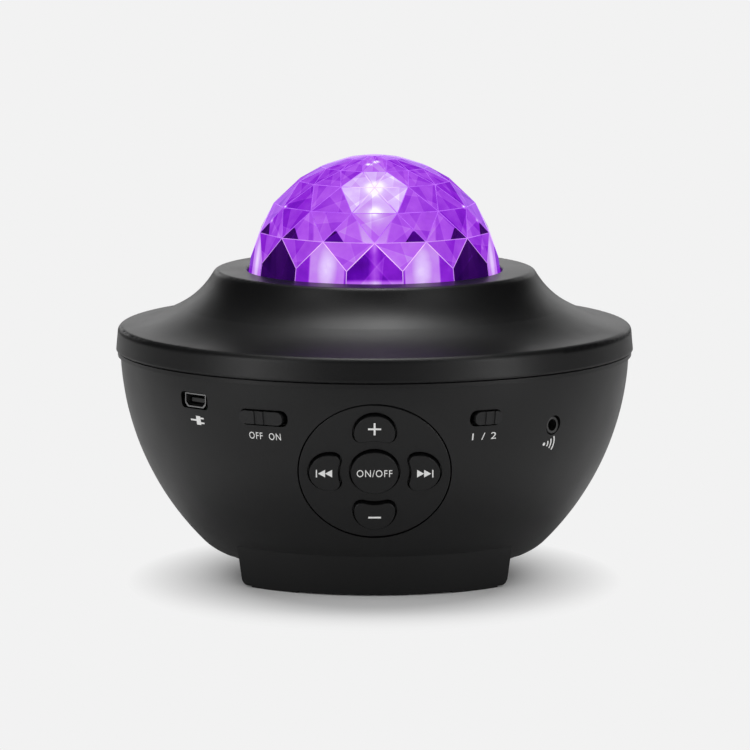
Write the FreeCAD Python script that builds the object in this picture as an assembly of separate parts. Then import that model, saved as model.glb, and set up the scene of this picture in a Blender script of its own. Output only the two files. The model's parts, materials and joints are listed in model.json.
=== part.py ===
import FreeCAD, Part
import math
import os

Vector = FreeCAD.Vector

# A table-top galaxy night light: a matt bowl on a low foot, a flared cover and a faceted clear dome.
# Millimetres. The origin is on the axis at the underside of the rubber strips, +Z is up, and the
# control panel faces -Y. Azimuths are counted from the front, positive towards +X.

# Clearances
overrun = 2.0                     # how far a cutting shape runs past what it cuts
thread_gap = 0.05                 # screw to its hole, all round
running_gap = 0.05                # shaft to its bush, all round
slip_gap = 0.3                    # moving plastic to its neighbour
rest_gap = 0.1                    # flat faces that part when a button is pressed
seat_gap = 0.2                    # loose seats, all round
tiny_share = 1e-5                 # of the wall: points closer than this are one point; of a unit vector

# Bowl
bowl_rim_radius = 78.67           # outside of the wall at the seam
bowl_tuck = 35.45                 # how far the corner's centre lies inside the rim
wall_lean = 1.6                   # degrees that the wall leans in at the seam
bowl_corner_radius = 14.8         # between the wall and the underside
bowl_wall = 2.4
underside_height = 5.4
seam_height = 68.1
lip_height = 1.3                  # raised band of the bowl under the seam
lip_step = 0.8
tongue_height = 2.4               # the bowl's edge that stands up inside the cover
tongue_wall = 1.1

# Foot and rubber strips
pad_stand = 0.5                   # how far a strip stands out of the foot
pad_bed = 0.8                     # how deep it is set in
pad_width = 2.2
pad_edge = 0.3                    # foot left outside a strip
pad_start_azimuth = 26.0
pad_end_azimuth = 44.0
foot_outset = 10.98               # foot's outside at its lower edge, beyond the corner's centre
foot_wall = 2.9
foot_height = 15.0                # height of the foot's wall, up into the bowl's corner
foot_draft = 10.0                 # degrees
foot_half_angle = 48.0
foot_corner = 2.0

# Cover
rim_overhang = 1.3                # cover's edge beyond the bowl's wall
cover_wall = 2.2
band_height = 7.8                 # upright band from the seam to the rim's crease
band_draft = 0.5
rim_edge_radius = 1.8
seam_groove_height = 0.5
seam_groove_depth = 1.0
flare_lower_radius = 47.2
flare_upper_radius = 27.9
flare_rim_slope = 7.2             # degrees
flare_middle_slope = 30.5         # degrees
ring_rise = 17.2                  # flat ring above the rim's crease
ring_edge_radius = 2.0
ring_hole_radius = 39.5
hole_edge_radius = 0.5
ring_wall = 2.2
skirt_wall = 1.6
skirt_gap = 1.7                   # skirt's bore beyond the ring's hole
skirt_depth = 5.4                 # skirt below the ring's underside

# Dome
dome_radius = 39.1                # to the corners of the facets
dome_rise = 37.65                 # the same, upwards: the dome is a little flattened
dome_sink = 2.35                  # dome's centre below the top of the ring
dome_facets = 14
dome_latitudes = (22.4, 37.3, 52.7, 64.9, 77.5, 86.0)
belt_shoulder_latitude = 9.1
belt_tilt = 8.0                   # degrees
dome_bore_radius = 34.5
flange_lip = 0.2                  # flange beyond the skirt
flange_height = 2.0
gasket_height = 0.8
gasket_width = 5.0

# Cover screws and their towers
tower_azimuths = (62.0, 118.0, 242.0, 298.0)
tower_circle_radius = 48.0
tower_radius = 4.4
well_radius = 3.3
tower_split_drop = 23.1           # where a tower meets the cover's boss, below the seam
tower_web = 2.5                   # plastic under the split that the screw bears on
screw_radius = 1.5
screw_head_radius = 2.8
screw_head_height = 2.2
screw_length = 12.0
recess_share = 0.4                # of a screw's head: radius and depth of its drive

# Control panel
panel_drop = 28.6                 # panel's middle below the seam
panel_radius = 22.65
panel_groove = 0.4
panel_sink = 3.2                  # its flat face, under the bowl's surface at the middle
panel_web = 2.0                   # thickness of its front wall
panel_edge = 0.3
panel_rim_wall = 1.4
collar_stand = 3.0                # the bowl's collar round the panel, behind the panel's web
collar_wall = 1.4
collar_ear_rim = 0.6              # the collar's pad round each ear of the panel
ear_thickness = 1.6
ear_radius = 2.6
ear_reach = 3.0                   # ears' circle beyond the panel
ear_angles = (45.0, 135.0, 225.0, 315.0)
center_button_radius = 7.1
outer_button_radius = 6.1
outer_button_rim = 3.15           # plastic between an outer button's cap and the panel's edge
button_ring = 3.8                 # from the centre button's cap to the arc that trims the others
outer_button_corner = 2.2
button_gap = 0.6
button_stand = 1.25               # cap above the panel's face
button_edge = 0.3
button_flange_reach = 0.8
button_flange_thickness = 1.1
button_stem_radius = 2.0
button_stem_length = 0.6
button_travel = 0.6

# Key board and its switches
tact_side = 6.0
tact_height = 3.5
plunger_radius = 1.7
plunger_stand = 1.0
plunger_foot = 0.7
key_board_thickness = 1.6
key_board_inset = 1.15            # board's half side inside the panel's radius
key_board_corner = 3.0
key_board_screw_radius = 1.0
key_board_screw_grip = 2.4        # how far a screw bites into the collar
small_head_radius = 1.9
small_head_height = 1.3

# Slide switches
switch_drop = 11.3                # switches' middle below the seam
switch_azimuth = 25.3
power_slot_length = 15.8
mode_slot_length = 10.4
slot_height = 4.9
slot_corner = 2.1
slide_travel = 1.3
slide_end_gap = 0.2
knob_gap = 0.45                   # a knob's cap to its slot, above and below
knob_stand = 0.8                  # out of the bowl's surface
knob_groove_width = 1.2
knob_groove_depth = 0.35
knob_groove_pitch = 3.0
slide_pad_depth = 4.4             # flat pad inside the wall, under the bowl's surface
slide_flange_thickness = 1.0
slide_flange_cover = 0.7
lever_side = 1.8
lever_length = 3.6
switch_body_length = 12.6
switch_body_height = 6.4
switch_body_depth = 6.0
switch_body_gap = 1.5             # flange to switch body
switch_slot_depth = 3.2

# Ports
usb_azimuth = 44.0                # to the left of the front
usb_drop = 8.15                   # socket's middle below the seam
usb_hole_width = 11.2
usb_hole_height = 5.0
usb_hole_corner = 1.4
usb_shell_width = 8.8
usb_shell_height = 4.2
usb_shell_wall = 0.35
usb_shell_chamfer = 1.1
usb_shell_depth = 9.2
usb_recess = 0.7
usb_tongue_width = 5.4
usb_tongue_thickness = 1.2
usb_tongue_length = 5.6
usb_block_depth = 2.4
jack_azimuth = 44.4
jack_drop = 15.75
jack_hole_radius = 3.0
jack_nose_radius = 2.6
jack_nose_length = 4.2
jack_recess = 0.5
jack_bore_radius = 1.8
jack_bore_length = 14.0
jack_body_width = 8.0
jack_body_depth = 12.0
jack_collar_radius = 2.35
jack_collar_length = 0.8
vent_drop = 17.7
vent_length = 6.5
vent_width = 2.4
vent_pitch = 4.2
vents_each_side = 5

# Main board
board_thickness = 1.6
board_gap = 3.7                   # board's edge to the wall's inside
board_width = 18.75
board_half_angle = 74.0
board_notch_side = 1.5            # room beside the panel and the switches' inner ends
board_notch_inset = 11.45         # flat of the notch, inside the board's edge
post_radius = 3.2
post_inset = 11.95                # posts' circle inside the board's edge
post_azimuths = (-65.0, -35.0, 35.0, 65.0)
board_screw_radius = 1.1
board_screw_length = 6.0
chip_sides = ((9.0, 5.0, 1.6), (6.0, 6.0, 1.2), (5.0, 4.0, 1.4))
chip_azimuths = (-54.0, 53.0, 44.0)
capacitor_radius = 3.0
capacitor_height = 8.0
capacitor_azimuths = (60.7, 68.0)
component_inset = 5.45

# Light chassis, hung from the cover
chassis_wall = 2.0
chassis_depth = 8.2               # floor's underside below the chassis's rim
chassis_inset = 3.0               # dish inside the flange's radius
chassis_floor = 2.0
chassis_boss_outset = 3.8         # bosses' circle beyond the flange
chassis_boss_radius = 3.0
chassis_ear_radius = 3.2
chassis_azimuths = (0.0, 90.0, 180.0, 270.0)
chassis_screw_radius = 1.1
chassis_screw_length = 7.0
motor_post_radius = 3.0
motor_post_inset = 10.0           # posts' circle inside the dish's radius
motor_post_azimuths = (50.0, 130.0, 230.0, 310.0)
motor_post_length = 8.0
lamp_board_gap = 4.0              # lamp board to the dish's wall
lamp_board_bore = 6.0
lamp_board_thickness = 1.6
lamp_count = 6
lamp_side = 5.0
lamp_height = 1.8
lamp_circle_radius = 20.0
lamp_start_azimuth = 30.0
laser_radius = 4.5
laser_circle_radius = 27.2
laser_length = 14.5
laser_stand = 5.0                 # barrel above the lamp board
laser_mouth_radius = 1.8
laser_mouth_depth = 4.5
grating_height = 0.8
grating_lip = 0.6

# Turning wave disc and its drive
gear_module = 0.75
disc_gear_teeth = 48
pinion_teeth = 12
gear_backlash = 0.16
gear_addendum_share = 0.85        # of the module
gear_dedendum_share = 1.25        # of the module
pressure_angle = 20.0
gear_thickness = 3.0
pinion_thickness = 4.0
gear_gap = 2.2                    # gear's top below the chassis floor
gear_hub_radius = 4.0
gear_hub_height = 1.6
spindle_radius = 1.5
bush_radius = 3.0
bush_flange_radius = 4.4
bush_flange_height = 1.0
wave_disc_side = 1.5              # disc to the dome's bore
wave_disc_thickness = 2.0
wave_disc_gap = 1.5               # disc's underside above the dome's flange
wave_rib_count = 24
wave_rib_height = 0.6
wave_rib_width = 1.4
hub_radius = 4.5
spindle_stand = 1.6               # spindle above the wave disc
clip_radius = 3.2
clip_height = 1.0
motor_plate_thickness = 1.5
motor_plate_rim = 5.0             # plate beyond the posts' circle
motor_radius = 7.5
motor_length = 13.0
motor_boss_radius = 3.0
motor_shaft_radius = 0.75
motor_shaft_stand = 1.0           # shaft above the pinion

# Loudspeaker
speaker_opening_radius = 22.0
grille_radius = 24.8
grille_thickness = 1.2
grille_hole_radius = 1.0
grille_hole_pitch = 4.2
grille_rings = 4
speaker_flange_radius = 30.5
speaker_flange_thickness = 1.2
speaker_neck_radius = 13.0
speaker_basket_height = 11.0
speaker_basket_wall = 1.2
magnet_radius = 15.0
magnet_height = 8.0
cone_edge_radius = 24.6
cone_throat_radius = 7.0
cone_height = 8.0
cone_thickness = 0.7
dust_cap_height = 2.4
speaker_screw_circle = 28.3
speaker_screw_azimuths = (45.0, 135.0, 225.0, 315.0)
speaker_screw_radius = 1.0
speaker_screw_length = 2.8
speaker_window_count = 4

# Leads
lead_radius = 0.7
lead_pitch = 1.8
lead_azimuth = 71.0
lead_inset = 12.45                # where the leads from below end, inside the board's edge
lead_drop = 8.0                   # straight length at an end of a lead
lead_rise = 16.0                  # straight length above the speaker's flange
lead_shoulder = 16.0              # where the speaker's leads turn, under the main board
lamp_lead_inset = 16.45           # where the lamps' leads leave it
lamp_lead_end_radius = 31.0       # where they reach the lamp board
lamp_lead_shoulder = 45.0         # radius at which they turn in, over the motor plate
bend_share = 0.45                 # of the shorter run beside a bend, taken up by the bend
ribbon_width = 9.0
ribbon_thickness = 0.5
ribbon_bend = 5.0
ribbon_rise = 3.0                 # where it leaves the key board, above the panel's middle

# The wall's arc, which leans in at the seam and meets the corner's arc smoothly
corner_x = bowl_rim_radius - bowl_tuck
corner_height = underside_height + bowl_corner_radius
lean_sine = math.sin(math.radians(wall_lean))
lean_cosine = math.cos(math.radians(wall_lean))
wall_rise = seam_height - corner_height
bowl_curve_radius = ((bowl_tuck ** 2 + wall_rise ** 2 - bowl_corner_radius ** 2)
                     / 2 / (bowl_tuck * lean_cosine - wall_rise * lean_sine - bowl_corner_radius))
bowl_curve_inset = bowl_curve_radius * lean_cosine - bowl_rim_radius
bowl_curve_height = seam_height + bowl_curve_radius * lean_sine


def bowl_radius(height, offset=0):
    """The bowl's radius at a height, on a surface that lies offset under the outer one."""
    reach = (bowl_curve_radius - offset) ** 2 - (bowl_curve_height - height) ** 2
    return math.sqrt(reach) - bowl_curve_inset


# Worked-out places
rim_radius = bowl_rim_radius + rim_overhang
foot_radius = corner_x + foot_outset
switch_height = seam_height - switch_drop
usb_height = seam_height - usb_drop
jack_height = seam_height - jack_drop
vent_height = seam_height - vent_drop
panel_height = seam_height - panel_drop
tower_split_height = seam_height - tower_split_drop
crease_height = seam_height + band_height
ring_top = crease_height + ring_rise
ring_underside = ring_top - ring_wall
dome_center = ring_top - dome_sink
flange_top = ring_underside - skirt_depth
flange_radius = ring_hole_radius + skirt_gap + skirt_wall + flange_lip
chassis_outer_radius = flange_radius - chassis_inset
chassis_boss_circle = flange_radius + chassis_boss_outset
motor_post_circle = chassis_outer_radius - motor_post_inset
motor_plate_radius = motor_post_circle + motor_plate_rim
lamp_board_radius = chassis_outer_radius - chassis_wall - lamp_board_gap
wave_disc_radius = dome_bore_radius - wave_disc_side
flange_bottom = flange_top - flange_height
gasket_bottom = flange_bottom - gasket_height
chassis_bottom = gasket_bottom - chassis_depth
chassis_floor_top = chassis_bottom + chassis_floor
lamp_board_top = chassis_floor_top + lamp_board_thickness
disc_bottom = flange_bottom + wave_disc_gap
disc_top = disc_bottom + wave_disc_thickness
gear_top = chassis_bottom - gear_gap
gear_bottom = gear_top - gear_thickness
motor_plate_top = chassis_bottom - motor_post_length
motor_plate_bottom = motor_plate_top - motor_plate_thickness
gear_distance = gear_module * (disc_gear_teeth + pinion_teeth) / 2
board_top = usb_height - usb_shell_height / 2
board_bottom = board_top - board_thickness
board_outer_radius = bowl_radius(usb_height) - bowl_wall - board_gap
board_inner_radius = board_outer_radius - board_width
board_notch_radius = board_outer_radius - board_notch_inset
switch_room_side = (board_outer_radius * math.sin(math.radians(switch_azimuth))
                    - switch_body_length / 2 * math.cos(math.radians(switch_azimuth)))
board_notch_half_width = max(panel_radius, switch_room_side) + board_notch_side
post_circle_radius = board_outer_radius - post_inset
component_circle_radius = board_outer_radius - component_inset
lead_end_radius = board_outer_radius - lead_inset
lamp_lead_radius = board_outer_radius - lamp_lead_inset
lead_shoulder_height = board_bottom - lead_shoulder
floor_top = underside_height + bowl_wall
speaker_flange_top = floor_top + speaker_flange_thickness
basket_top = speaker_flange_top + speaker_basket_height
magnet_top = basket_top + magnet_height
panel_tilt = math.degrees(math.asin((bowl_curve_height - panel_height) / bowl_curve_radius))
panel_web_depth = panel_sink + panel_web
collar_depth = panel_web_depth + collar_stand
collar_radius = panel_radius + panel_groove + collar_wall
collar_ear_radius = ear_radius + collar_ear_rim
ear_circle_radius = panel_radius + ear_reach
key_board_half = panel_radius - key_board_inset
button_face = button_stand - panel_sink
button_pitch = panel_radius - outer_button_rim - outer_button_radius
outer_button_inset = center_button_radius + button_ring
tact_top_depth = (panel_web_depth + rest_gap + button_flange_thickness + button_stem_length
                  + plunger_stand)
board_face_depth = tact_top_depth + tact_height
board_back_depth = board_face_depth + key_board_thickness


def save(name, shape):
    shape.exportStep("parts/" + name + ".step")


def around(azimuth, radius, height=0):
    turn = math.radians(azimuth)
    return Vector(radius * math.sin(turn), -radius * math.cos(turn), height)


def rod(radius, low, high, x=0, y=0):
    return Part.makeCylinder(radius, high - low, Vector(x, y, low))


def rod_at(spot, radius, low, high):
    return rod(radius, low, high, spot.x, spot.y)


def tube(outer, inner, low, high):
    return rod(outer, low, high).cut(rod(inner, low - overrun, high + overrun))


def block(low, high):
    size = Vector(*high).sub(Vector(*low))
    return Part.makeBox(size.x, size.y, size.z, Vector(*low))


def joined(shapes):
    whole = shapes[0]
    if len(shapes) > 1:
        whole = whole.fuse(shapes[1:])
    return whole.removeSplitter()


def group(shapes):
    return Part.makeCompound(shapes)


def upright_edges(shape):
    found = []
    for edge in shape.Edges:
        along = edge.tangentAt(edge.FirstParameter)
        if edge.Curve.TypeId == "Part::GeomLine" and abs(along.z) > 1 - tiny_share:
            found.append(edge)
    return found


def rounded_block(width, height, low, high, corner, shift=0):
    """A bar along Z whose section is a rectangle with round corners, moved sideways by shift."""
    bar = block((shift - width / 2, -height / 2, low), (shift + width / 2, height / 2, high))
    return bar.makeFillet(corner, upright_edges(bar))


def profile(start, *steps):
    """A closed face in the XZ plane. A step is a point, or two points: an arc's middle and its end."""
    edges = []
    here = start
    for step in steps + (start,):
        if isinstance(step, tuple):
            edges.append(Part.Arc(here, step[0], step[1]).toShape())
            here = step[1]
        elif not here.isEqual(step, tiny_share * bowl_wall):
            edges.append(Part.LineSegment(here, step).toShape())
            here = step
    return Part.Face(Part.Wire(edges))


def spun(face):
    return face.revolve(Vector(0, 0, 0), Vector(0, 0, 1), 360)


def below(centre, radius, degrees):
    """A point on the lower half of a circle in the XZ plane, degrees from its lowest point."""
    turn = math.radians(degrees)
    return Vector(centre.x - radius * math.sin(turn), 0, centre.z - radius * math.cos(turn))


def above(centre, radius, degrees):
    """A point on the upper half of a circle in the XZ plane, degrees from its highest point."""
    turn = math.radians(degrees)
    return Vector(centre.x + radius * math.sin(turn), 0, centre.z + radius * math.cos(turn))


def frame_at(spot, side, rise, out):
    """A placement whose X, Y and Z run along side, rise and out."""
    return FreeCAD.Placement(FreeCAD.Matrix(side.x, rise.x, out.x, spot.x,
                                            side.y, rise.y, out.y, spot.y,
                                            side.z, rise.z, out.z, spot.z,
                                            0, 0, 0, 1))


def radial_frame(azimuth, height):
    """On the axis: X runs along the wall to the right, Y up, and Z out through the wall."""
    turn = math.radians(azimuth)
    return frame_at(Vector(0, 0, height), Vector(math.cos(turn), math.sin(turn), 0),
                    Vector(0, 0, 1), Vector(math.sin(turn), -math.cos(turn), 0))


def placed(shape, frame):
    copy = shape.copy()
    copy.Placement = frame.multiply(copy.Placement)
    return copy


def bowl_body(offset=0, top=seam_height):
    """The bowl filled solid, on a surface that lies offset under the outer one."""
    drop = bowl_curve_height - corner_height
    corner = Vector(corner_x, 0, corner_height)
    corner_round = bowl_corner_radius - offset
    turn = 90 - math.degrees(math.asin(drop / (bowl_curve_radius - bowl_corner_radius)))
    start = Vector(corner.x, 0, corner.z - corner_round)
    bend = above(corner, corner_round, 180 - turn / 2)
    joint = above(corner, corner_round, 180 - turn)
    middle_height = (joint.z + top) / 2
    middle = Vector(bowl_radius(middle_height, offset), 0, middle_height)
    edge = Vector(bowl_radius(top, offset), 0, top)
    return spun(profile(Vector(0, 0, start.z), start, (bend, joint), (middle, edge),
                        Vector(0, 0, top)))


panel_spot = Vector(0, -bowl_radius(panel_height), panel_height)
panel_lean = math.radians(panel_tilt)
panel_frame = frame_at(panel_spot, Vector(1, 0, 0),
                       Vector(0, -math.sin(panel_lean), math.cos(panel_lean)),
                       Vector(0, -math.cos(panel_lean), -math.sin(panel_lean)))


def wall_bar(azimuth, height, width, tall, corner, depth, out=overrun, shift=0):
    """A bar through the wall at a port, from depth under the surface to out beyond it."""
    surface = bowl_radius(height)
    bar = rounded_block(width, tall, surface - depth, surface + out, corner, shift)
    return placed(bar, radial_frame(azimuth, height))


def sector(outer, inner, low, high, start, end):
    """A slice of a tube between two azimuths, at the front."""
    return (tube(outer, inner, low, high)
            .common(wedge(outer + overrun, low - overrun, high + overrun, start, end)))


def wedge(radius, low, high, start, end):
    reach = radius / math.cos(math.radians(end - start) / 4)
    points = [Vector(0, 0, low)]
    for step in range(5):
        points.append(around(start + (end - start) * step / 4, reach * 2, low))
    return Part.Face(Part.makePolygon(points + [points[0]])).extrude(Vector(0, 0, high - low))


def at_back(shape):
    return placed(shape, FreeCAD.Placement(Vector(0, 0, 0), Vector(0, 0, 1), 180))


def foot_arc():
    """One curved wall of the foot, wider towards the top, with round lower corners."""
    spread = foot_height * math.tan(math.radians(foot_draft))
    low = pad_stand
    high = pad_stand + foot_height
    inner = foot_radius - foot_wall
    ring = spun(profile(Vector(inner, 0, low), Vector(foot_radius, 0, low),
                        Vector(foot_radius + spread, 0, high), Vector(inner, 0, high)))
    arc = ring.common(wedge(foot_radius + spread, low - overrun, high + overrun,
                            -foot_half_angle, foot_half_angle))
    ends = []
    for edge in arc.Edges:
        level = edge.BoundBox
        if level.ZMax < low + thread_gap and edge.Curve.TypeId == "Part::GeomLine":
            ends.append(edge)
    return arc.makeFillet(foot_corner, ends)


def pad_shapes(low, high, grow=0):
    outer = foot_radius - pad_edge + grow
    inner = foot_radius - pad_edge - pad_width - grow
    pads = []
    for side in (-1, 1):
        start, end = sorted((side * pad_start_azimuth, side * pad_end_azimuth))
        pad = sector(outer, inner, low, high, start, end)
        pads += [pad, at_back(pad)]
    return pads


def tower_spots():
    return [around(azimuth, tower_circle_radius) for azimuth in tower_azimuths]


def vent_bars():
    bars = []
    surface = bowl_radius(vent_height)
    for azimuth in (-90.0, 90.0):
        for index in range(vents_each_side):
            shift = (index - (vents_each_side - 1) / 2) * vent_pitch
            bar = block((shift - vent_width / 2, -vent_length / 2, surface - bowl_wall * 2),
                        (shift + vent_width / 2, vent_length / 2, surface + overrun))
            bars.append(placed(bar, radial_frame(azimuth, vent_height)))
    return bars


def slide_flange_length(slot_length):
    return slot_length + slide_travel + 2 * slide_flange_cover


def slide_pad(azimuth, slot_length):
    length = slide_flange_length(slot_length) + slide_travel + 2 * slide_flange_cover
    return wall_bar(azimuth, switch_height, length, slot_height + 4 * slide_flange_cover,
                    slide_flange_cover, slide_pad_depth, 0)


def slide_slot(azimuth, slot_length):
    return wall_bar(azimuth, switch_height, slot_length, slot_height, slot_corner,
                    slide_pad_depth + overrun)


def panel_ear_spots():
    spots = []
    for angle in ear_angles:
        turn = math.radians(angle)
        spots.append(Vector(ear_circle_radius * math.cos(turn),
                            ear_circle_radius * math.sin(turn), 0))
    return spots


def collar():
    """The thick ring inside the wall that the control panel is screwed to."""
    pads = [rod_at(spot, collar_ear_radius, -collar_depth, overrun) for spot in panel_ear_spots()]
    ring = joined([rod(collar_radius, -collar_depth, overrun)] + pads)
    return placed(ring, panel_frame).common(bowl_body(bowl_wall / 2))


def bowl_housing():
    """The moulded bowl with its foot, towers, collar, posts and every opening in its wall."""
    skin = bowl_body()
    lip = rod(bowl_radius(seam_height) + lip_step, seam_height - lip_height, seam_height)
    foot = foot_arc()
    shell = joined([skin, lip, foot, at_back(foot)])
    shell = shell.cut(bowl_body(bowl_wall, seam_height))
    tongue_inner = bowl_radius(seam_height, bowl_wall)
    tongue = tube(tongue_inner + tongue_wall, tongue_inner, seam_height - lip_height,
                  seam_height + tongue_height)
    additions = [shell, tongue, collar(), slide_pad(-switch_azimuth, power_slot_length)
                 .common(bowl_body(bowl_wall / 2)),
                 slide_pad(switch_azimuth, mode_slot_length).common(bowl_body(bowl_wall / 2))]
    fill = bowl_body(bowl_wall / 2)
    for spot in tower_spots():
        additions.append(rod_at(spot, tower_radius, underside_height, tower_split_height)
                         .common(fill))
    for azimuth in post_azimuths:
        spot = around(azimuth, post_circle_radius)
        additions.append(rod_at(spot, post_radius, underside_height, board_bottom).common(fill))
    shell = joined(additions)
    cuts = [placed(rod(panel_radius + panel_groove, -collar_depth - overrun, 2 * overrun),
                   panel_frame),
            slide_slot(-switch_azimuth, power_slot_length),
            slide_slot(switch_azimuth, mode_slot_length),
            wall_bar(-usb_azimuth, usb_height, usb_hole_width, usb_hole_height, usb_hole_corner,
                     2 * bowl_wall),
            placed(rod(jack_hole_radius, bowl_radius(jack_height) - 2 * bowl_wall,
                       bowl_radius(jack_height) + overrun), radial_frame(jack_azimuth, jack_height)),
            rod(speaker_opening_radius, underside_height - overrun, floor_top + overrun),
            rod(grille_radius + seat_gap, underside_height - overrun,
                underside_height + grille_thickness)]
    cuts += vent_bars()
    cuts += pad_shapes(0, pad_stand + pad_bed)
    for spot in tower_spots():
        cuts.append(rod_at(spot, well_radius, 0, tower_split_height - tower_web))
        cuts.append(rod_at(spot, screw_radius + thread_gap, 0, tower_split_height + overrun))
    for azimuth in post_azimuths:
        spot = around(azimuth, post_circle_radius)
        cuts.append(rod_at(spot, board_screw_radius + thread_gap,
                           board_bottom - board_screw_length, board_bottom + overrun))
    for spot in panel_ear_spots():
        hole = rod_at(spot, key_board_screw_radius + thread_gap, -collar_depth - overrun,
                      -collar_depth + key_board_screw_grip + rest_gap)
        cuts.append(placed(hole, panel_frame))
    for azimuth in speaker_screw_azimuths:
        spot = around(azimuth, speaker_screw_circle)
        cuts.append(rod_at(spot, speaker_screw_radius + thread_gap,
                           speaker_flange_top - speaker_screw_length - rest_gap,
                           floor_top + overrun))
    return shell.cut(cuts)


def cover_marks():
    """Centres and joints of the arcs that make the cover's outer line."""
    rim_slope, middle_slope = flare_rim_slope, flare_middle_slope
    edge = Vector(rim_radius - band_draft - rim_edge_radius, 0, crease_height - rim_edge_radius)
    band_top = above(edge, rim_edge_radius, 90)
    shoulder = above(edge, rim_edge_radius, rim_slope)
    lower = above(shoulder, flare_lower_radius, rim_slope)
    middle = below(lower, flare_lower_radius, middle_slope)
    upper = above(middle, flare_upper_radius, middle_slope)
    ring_edge_height = ring_top - ring_edge_radius
    reach = math.sqrt((flare_upper_radius + ring_edge_radius) ** 2
                      - (upper.z - ring_edge_height) ** 2)
    ring_edge = Vector(upper.x - reach, 0, ring_edge_height)
    steep = math.degrees(math.atan2(reach, upper.z - ring_edge_height))
    flare_top = below(upper, flare_upper_radius, steep)
    ring_start = above(ring_edge, ring_edge_radius, 0)
    return {"band_top": band_top, "edge": edge, "shoulder": shoulder, "lower": lower,
            "middle": middle, "upper": upper, "ring_edge": ring_edge, "steep": steep,
            "flare_top": flare_top, "ring_start": ring_start}


def cover_skin_steps(marks):
    """The outer line from the rim's band to the ring."""
    rim_slope, middle_slope = flare_rim_slope, flare_middle_slope
    return [marks["band_top"],
            (above(marks["edge"], rim_edge_radius, (90 + rim_slope) / 2), marks["shoulder"]),
            (below(marks["lower"], flare_lower_radius, (rim_slope + middle_slope) / 2),
             marks["middle"]),
            (below(marks["upper"], flare_upper_radius, (middle_slope + marks["steep"]) / 2),
             marks["flare_top"]),
            (above(marks["ring_edge"], ring_edge_radius, marks["steep"] / 2),
             marks["ring_start"])]


def cover_filled():
    marks = cover_marks()
    return spun(profile(Vector(0, 0, seam_height), Vector(rim_radius, 0, seam_height),
                        *cover_skin_steps(marks), Vector(0, 0, ring_top)))


def cover_bosses():
    """Bosses under the cover and their holes: for the housing screws and for the light chassis."""
    shapes = []
    holes = []
    for spot in tower_spots():
        shapes.append(rod_at(spot, tower_radius, tower_split_height, ring_underside + ring_wall / 2))
        holes.append(rod_at(spot, screw_radius + thread_gap, tower_split_height - overrun,
                            tower_split_height - tower_web + screw_length + rest_gap))
    for azimuth in chassis_azimuths:
        spot = around(azimuth, chassis_boss_circle)
        shapes.append(rod_at(spot, chassis_boss_radius, gasket_bottom,
                             ring_underside + ring_wall / 2))
        holes.append(rod_at(spot, chassis_screw_radius + thread_gap, gasket_bottom - overrun,
                            gasket_bottom - chassis_wall + chassis_screw_length + rest_gap))
    return shapes, holes


def top_cover():
    """The flared cover with its ring, the skirt round the dome and its bosses."""
    marks = cover_marks()
    groove_radius = rim_radius - seam_groove_depth
    band_inner = rim_radius - cover_wall
    lower, upper = marks["lower"], marks["upper"]
    lower_inner = flare_lower_radius + cover_wall
    upper_inner = flare_upper_radius + cover_wall
    ring_corner = Vector(upper.x - math.sqrt(upper_inner ** 2 - (upper.z - ring_underside) ** 2),
                         0, ring_underside)
    corner_slope = math.degrees(math.atan2(upper.x - ring_corner.x, upper.z - ring_underside))
    band_slope = math.degrees(math.asin((lower.x - band_inner) / lower_inner))
    skirt_inner = ring_hole_radius + skirt_gap
    skirt_outer = skirt_inner + skirt_wall
    hole_edge = Vector(ring_hole_radius + hole_edge_radius, 0, ring_top - hole_edge_radius)
    section = profile(
        Vector(groove_radius, 0, seam_height),
        Vector(groove_radius, 0, seam_height + seam_groove_height),
        Vector(rim_radius, 0, seam_height + seam_groove_height),
        *cover_skin_steps(marks),
        above(hole_edge, hole_edge_radius, 0),
        (above(hole_edge, hole_edge_radius, -45), above(hole_edge, hole_edge_radius, -90)),
        Vector(ring_hole_radius, 0, ring_underside),
        Vector(skirt_inner, 0, ring_underside),
        Vector(skirt_inner, 0, flange_top),
        Vector(skirt_outer, 0, flange_top),
        Vector(skirt_outer, 0, ring_underside),
        ring_corner,
        (below(upper, upper_inner, (corner_slope + flare_middle_slope) / 2),
         below(upper, upper_inner, flare_middle_slope)),
        (below(lower, lower_inner, (flare_middle_slope + band_slope) / 2),
         below(lower, lower_inner, band_slope)),
        Vector(band_inner, 0, seam_height))
    bosses, holes = cover_bosses()
    inside = cover_filled().fuse(rod(rim_radius, 0, seam_height))
    cover = joined([spun(section)] + [boss.common(inside) for boss in bosses])
    return cover.cut(holes)


def facet_ring(radius, height, half_step):
    step = 360 / dome_facets
    return [around((index + half_step / 2) * step, radius, height) for index in range(dome_facets)]


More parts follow.
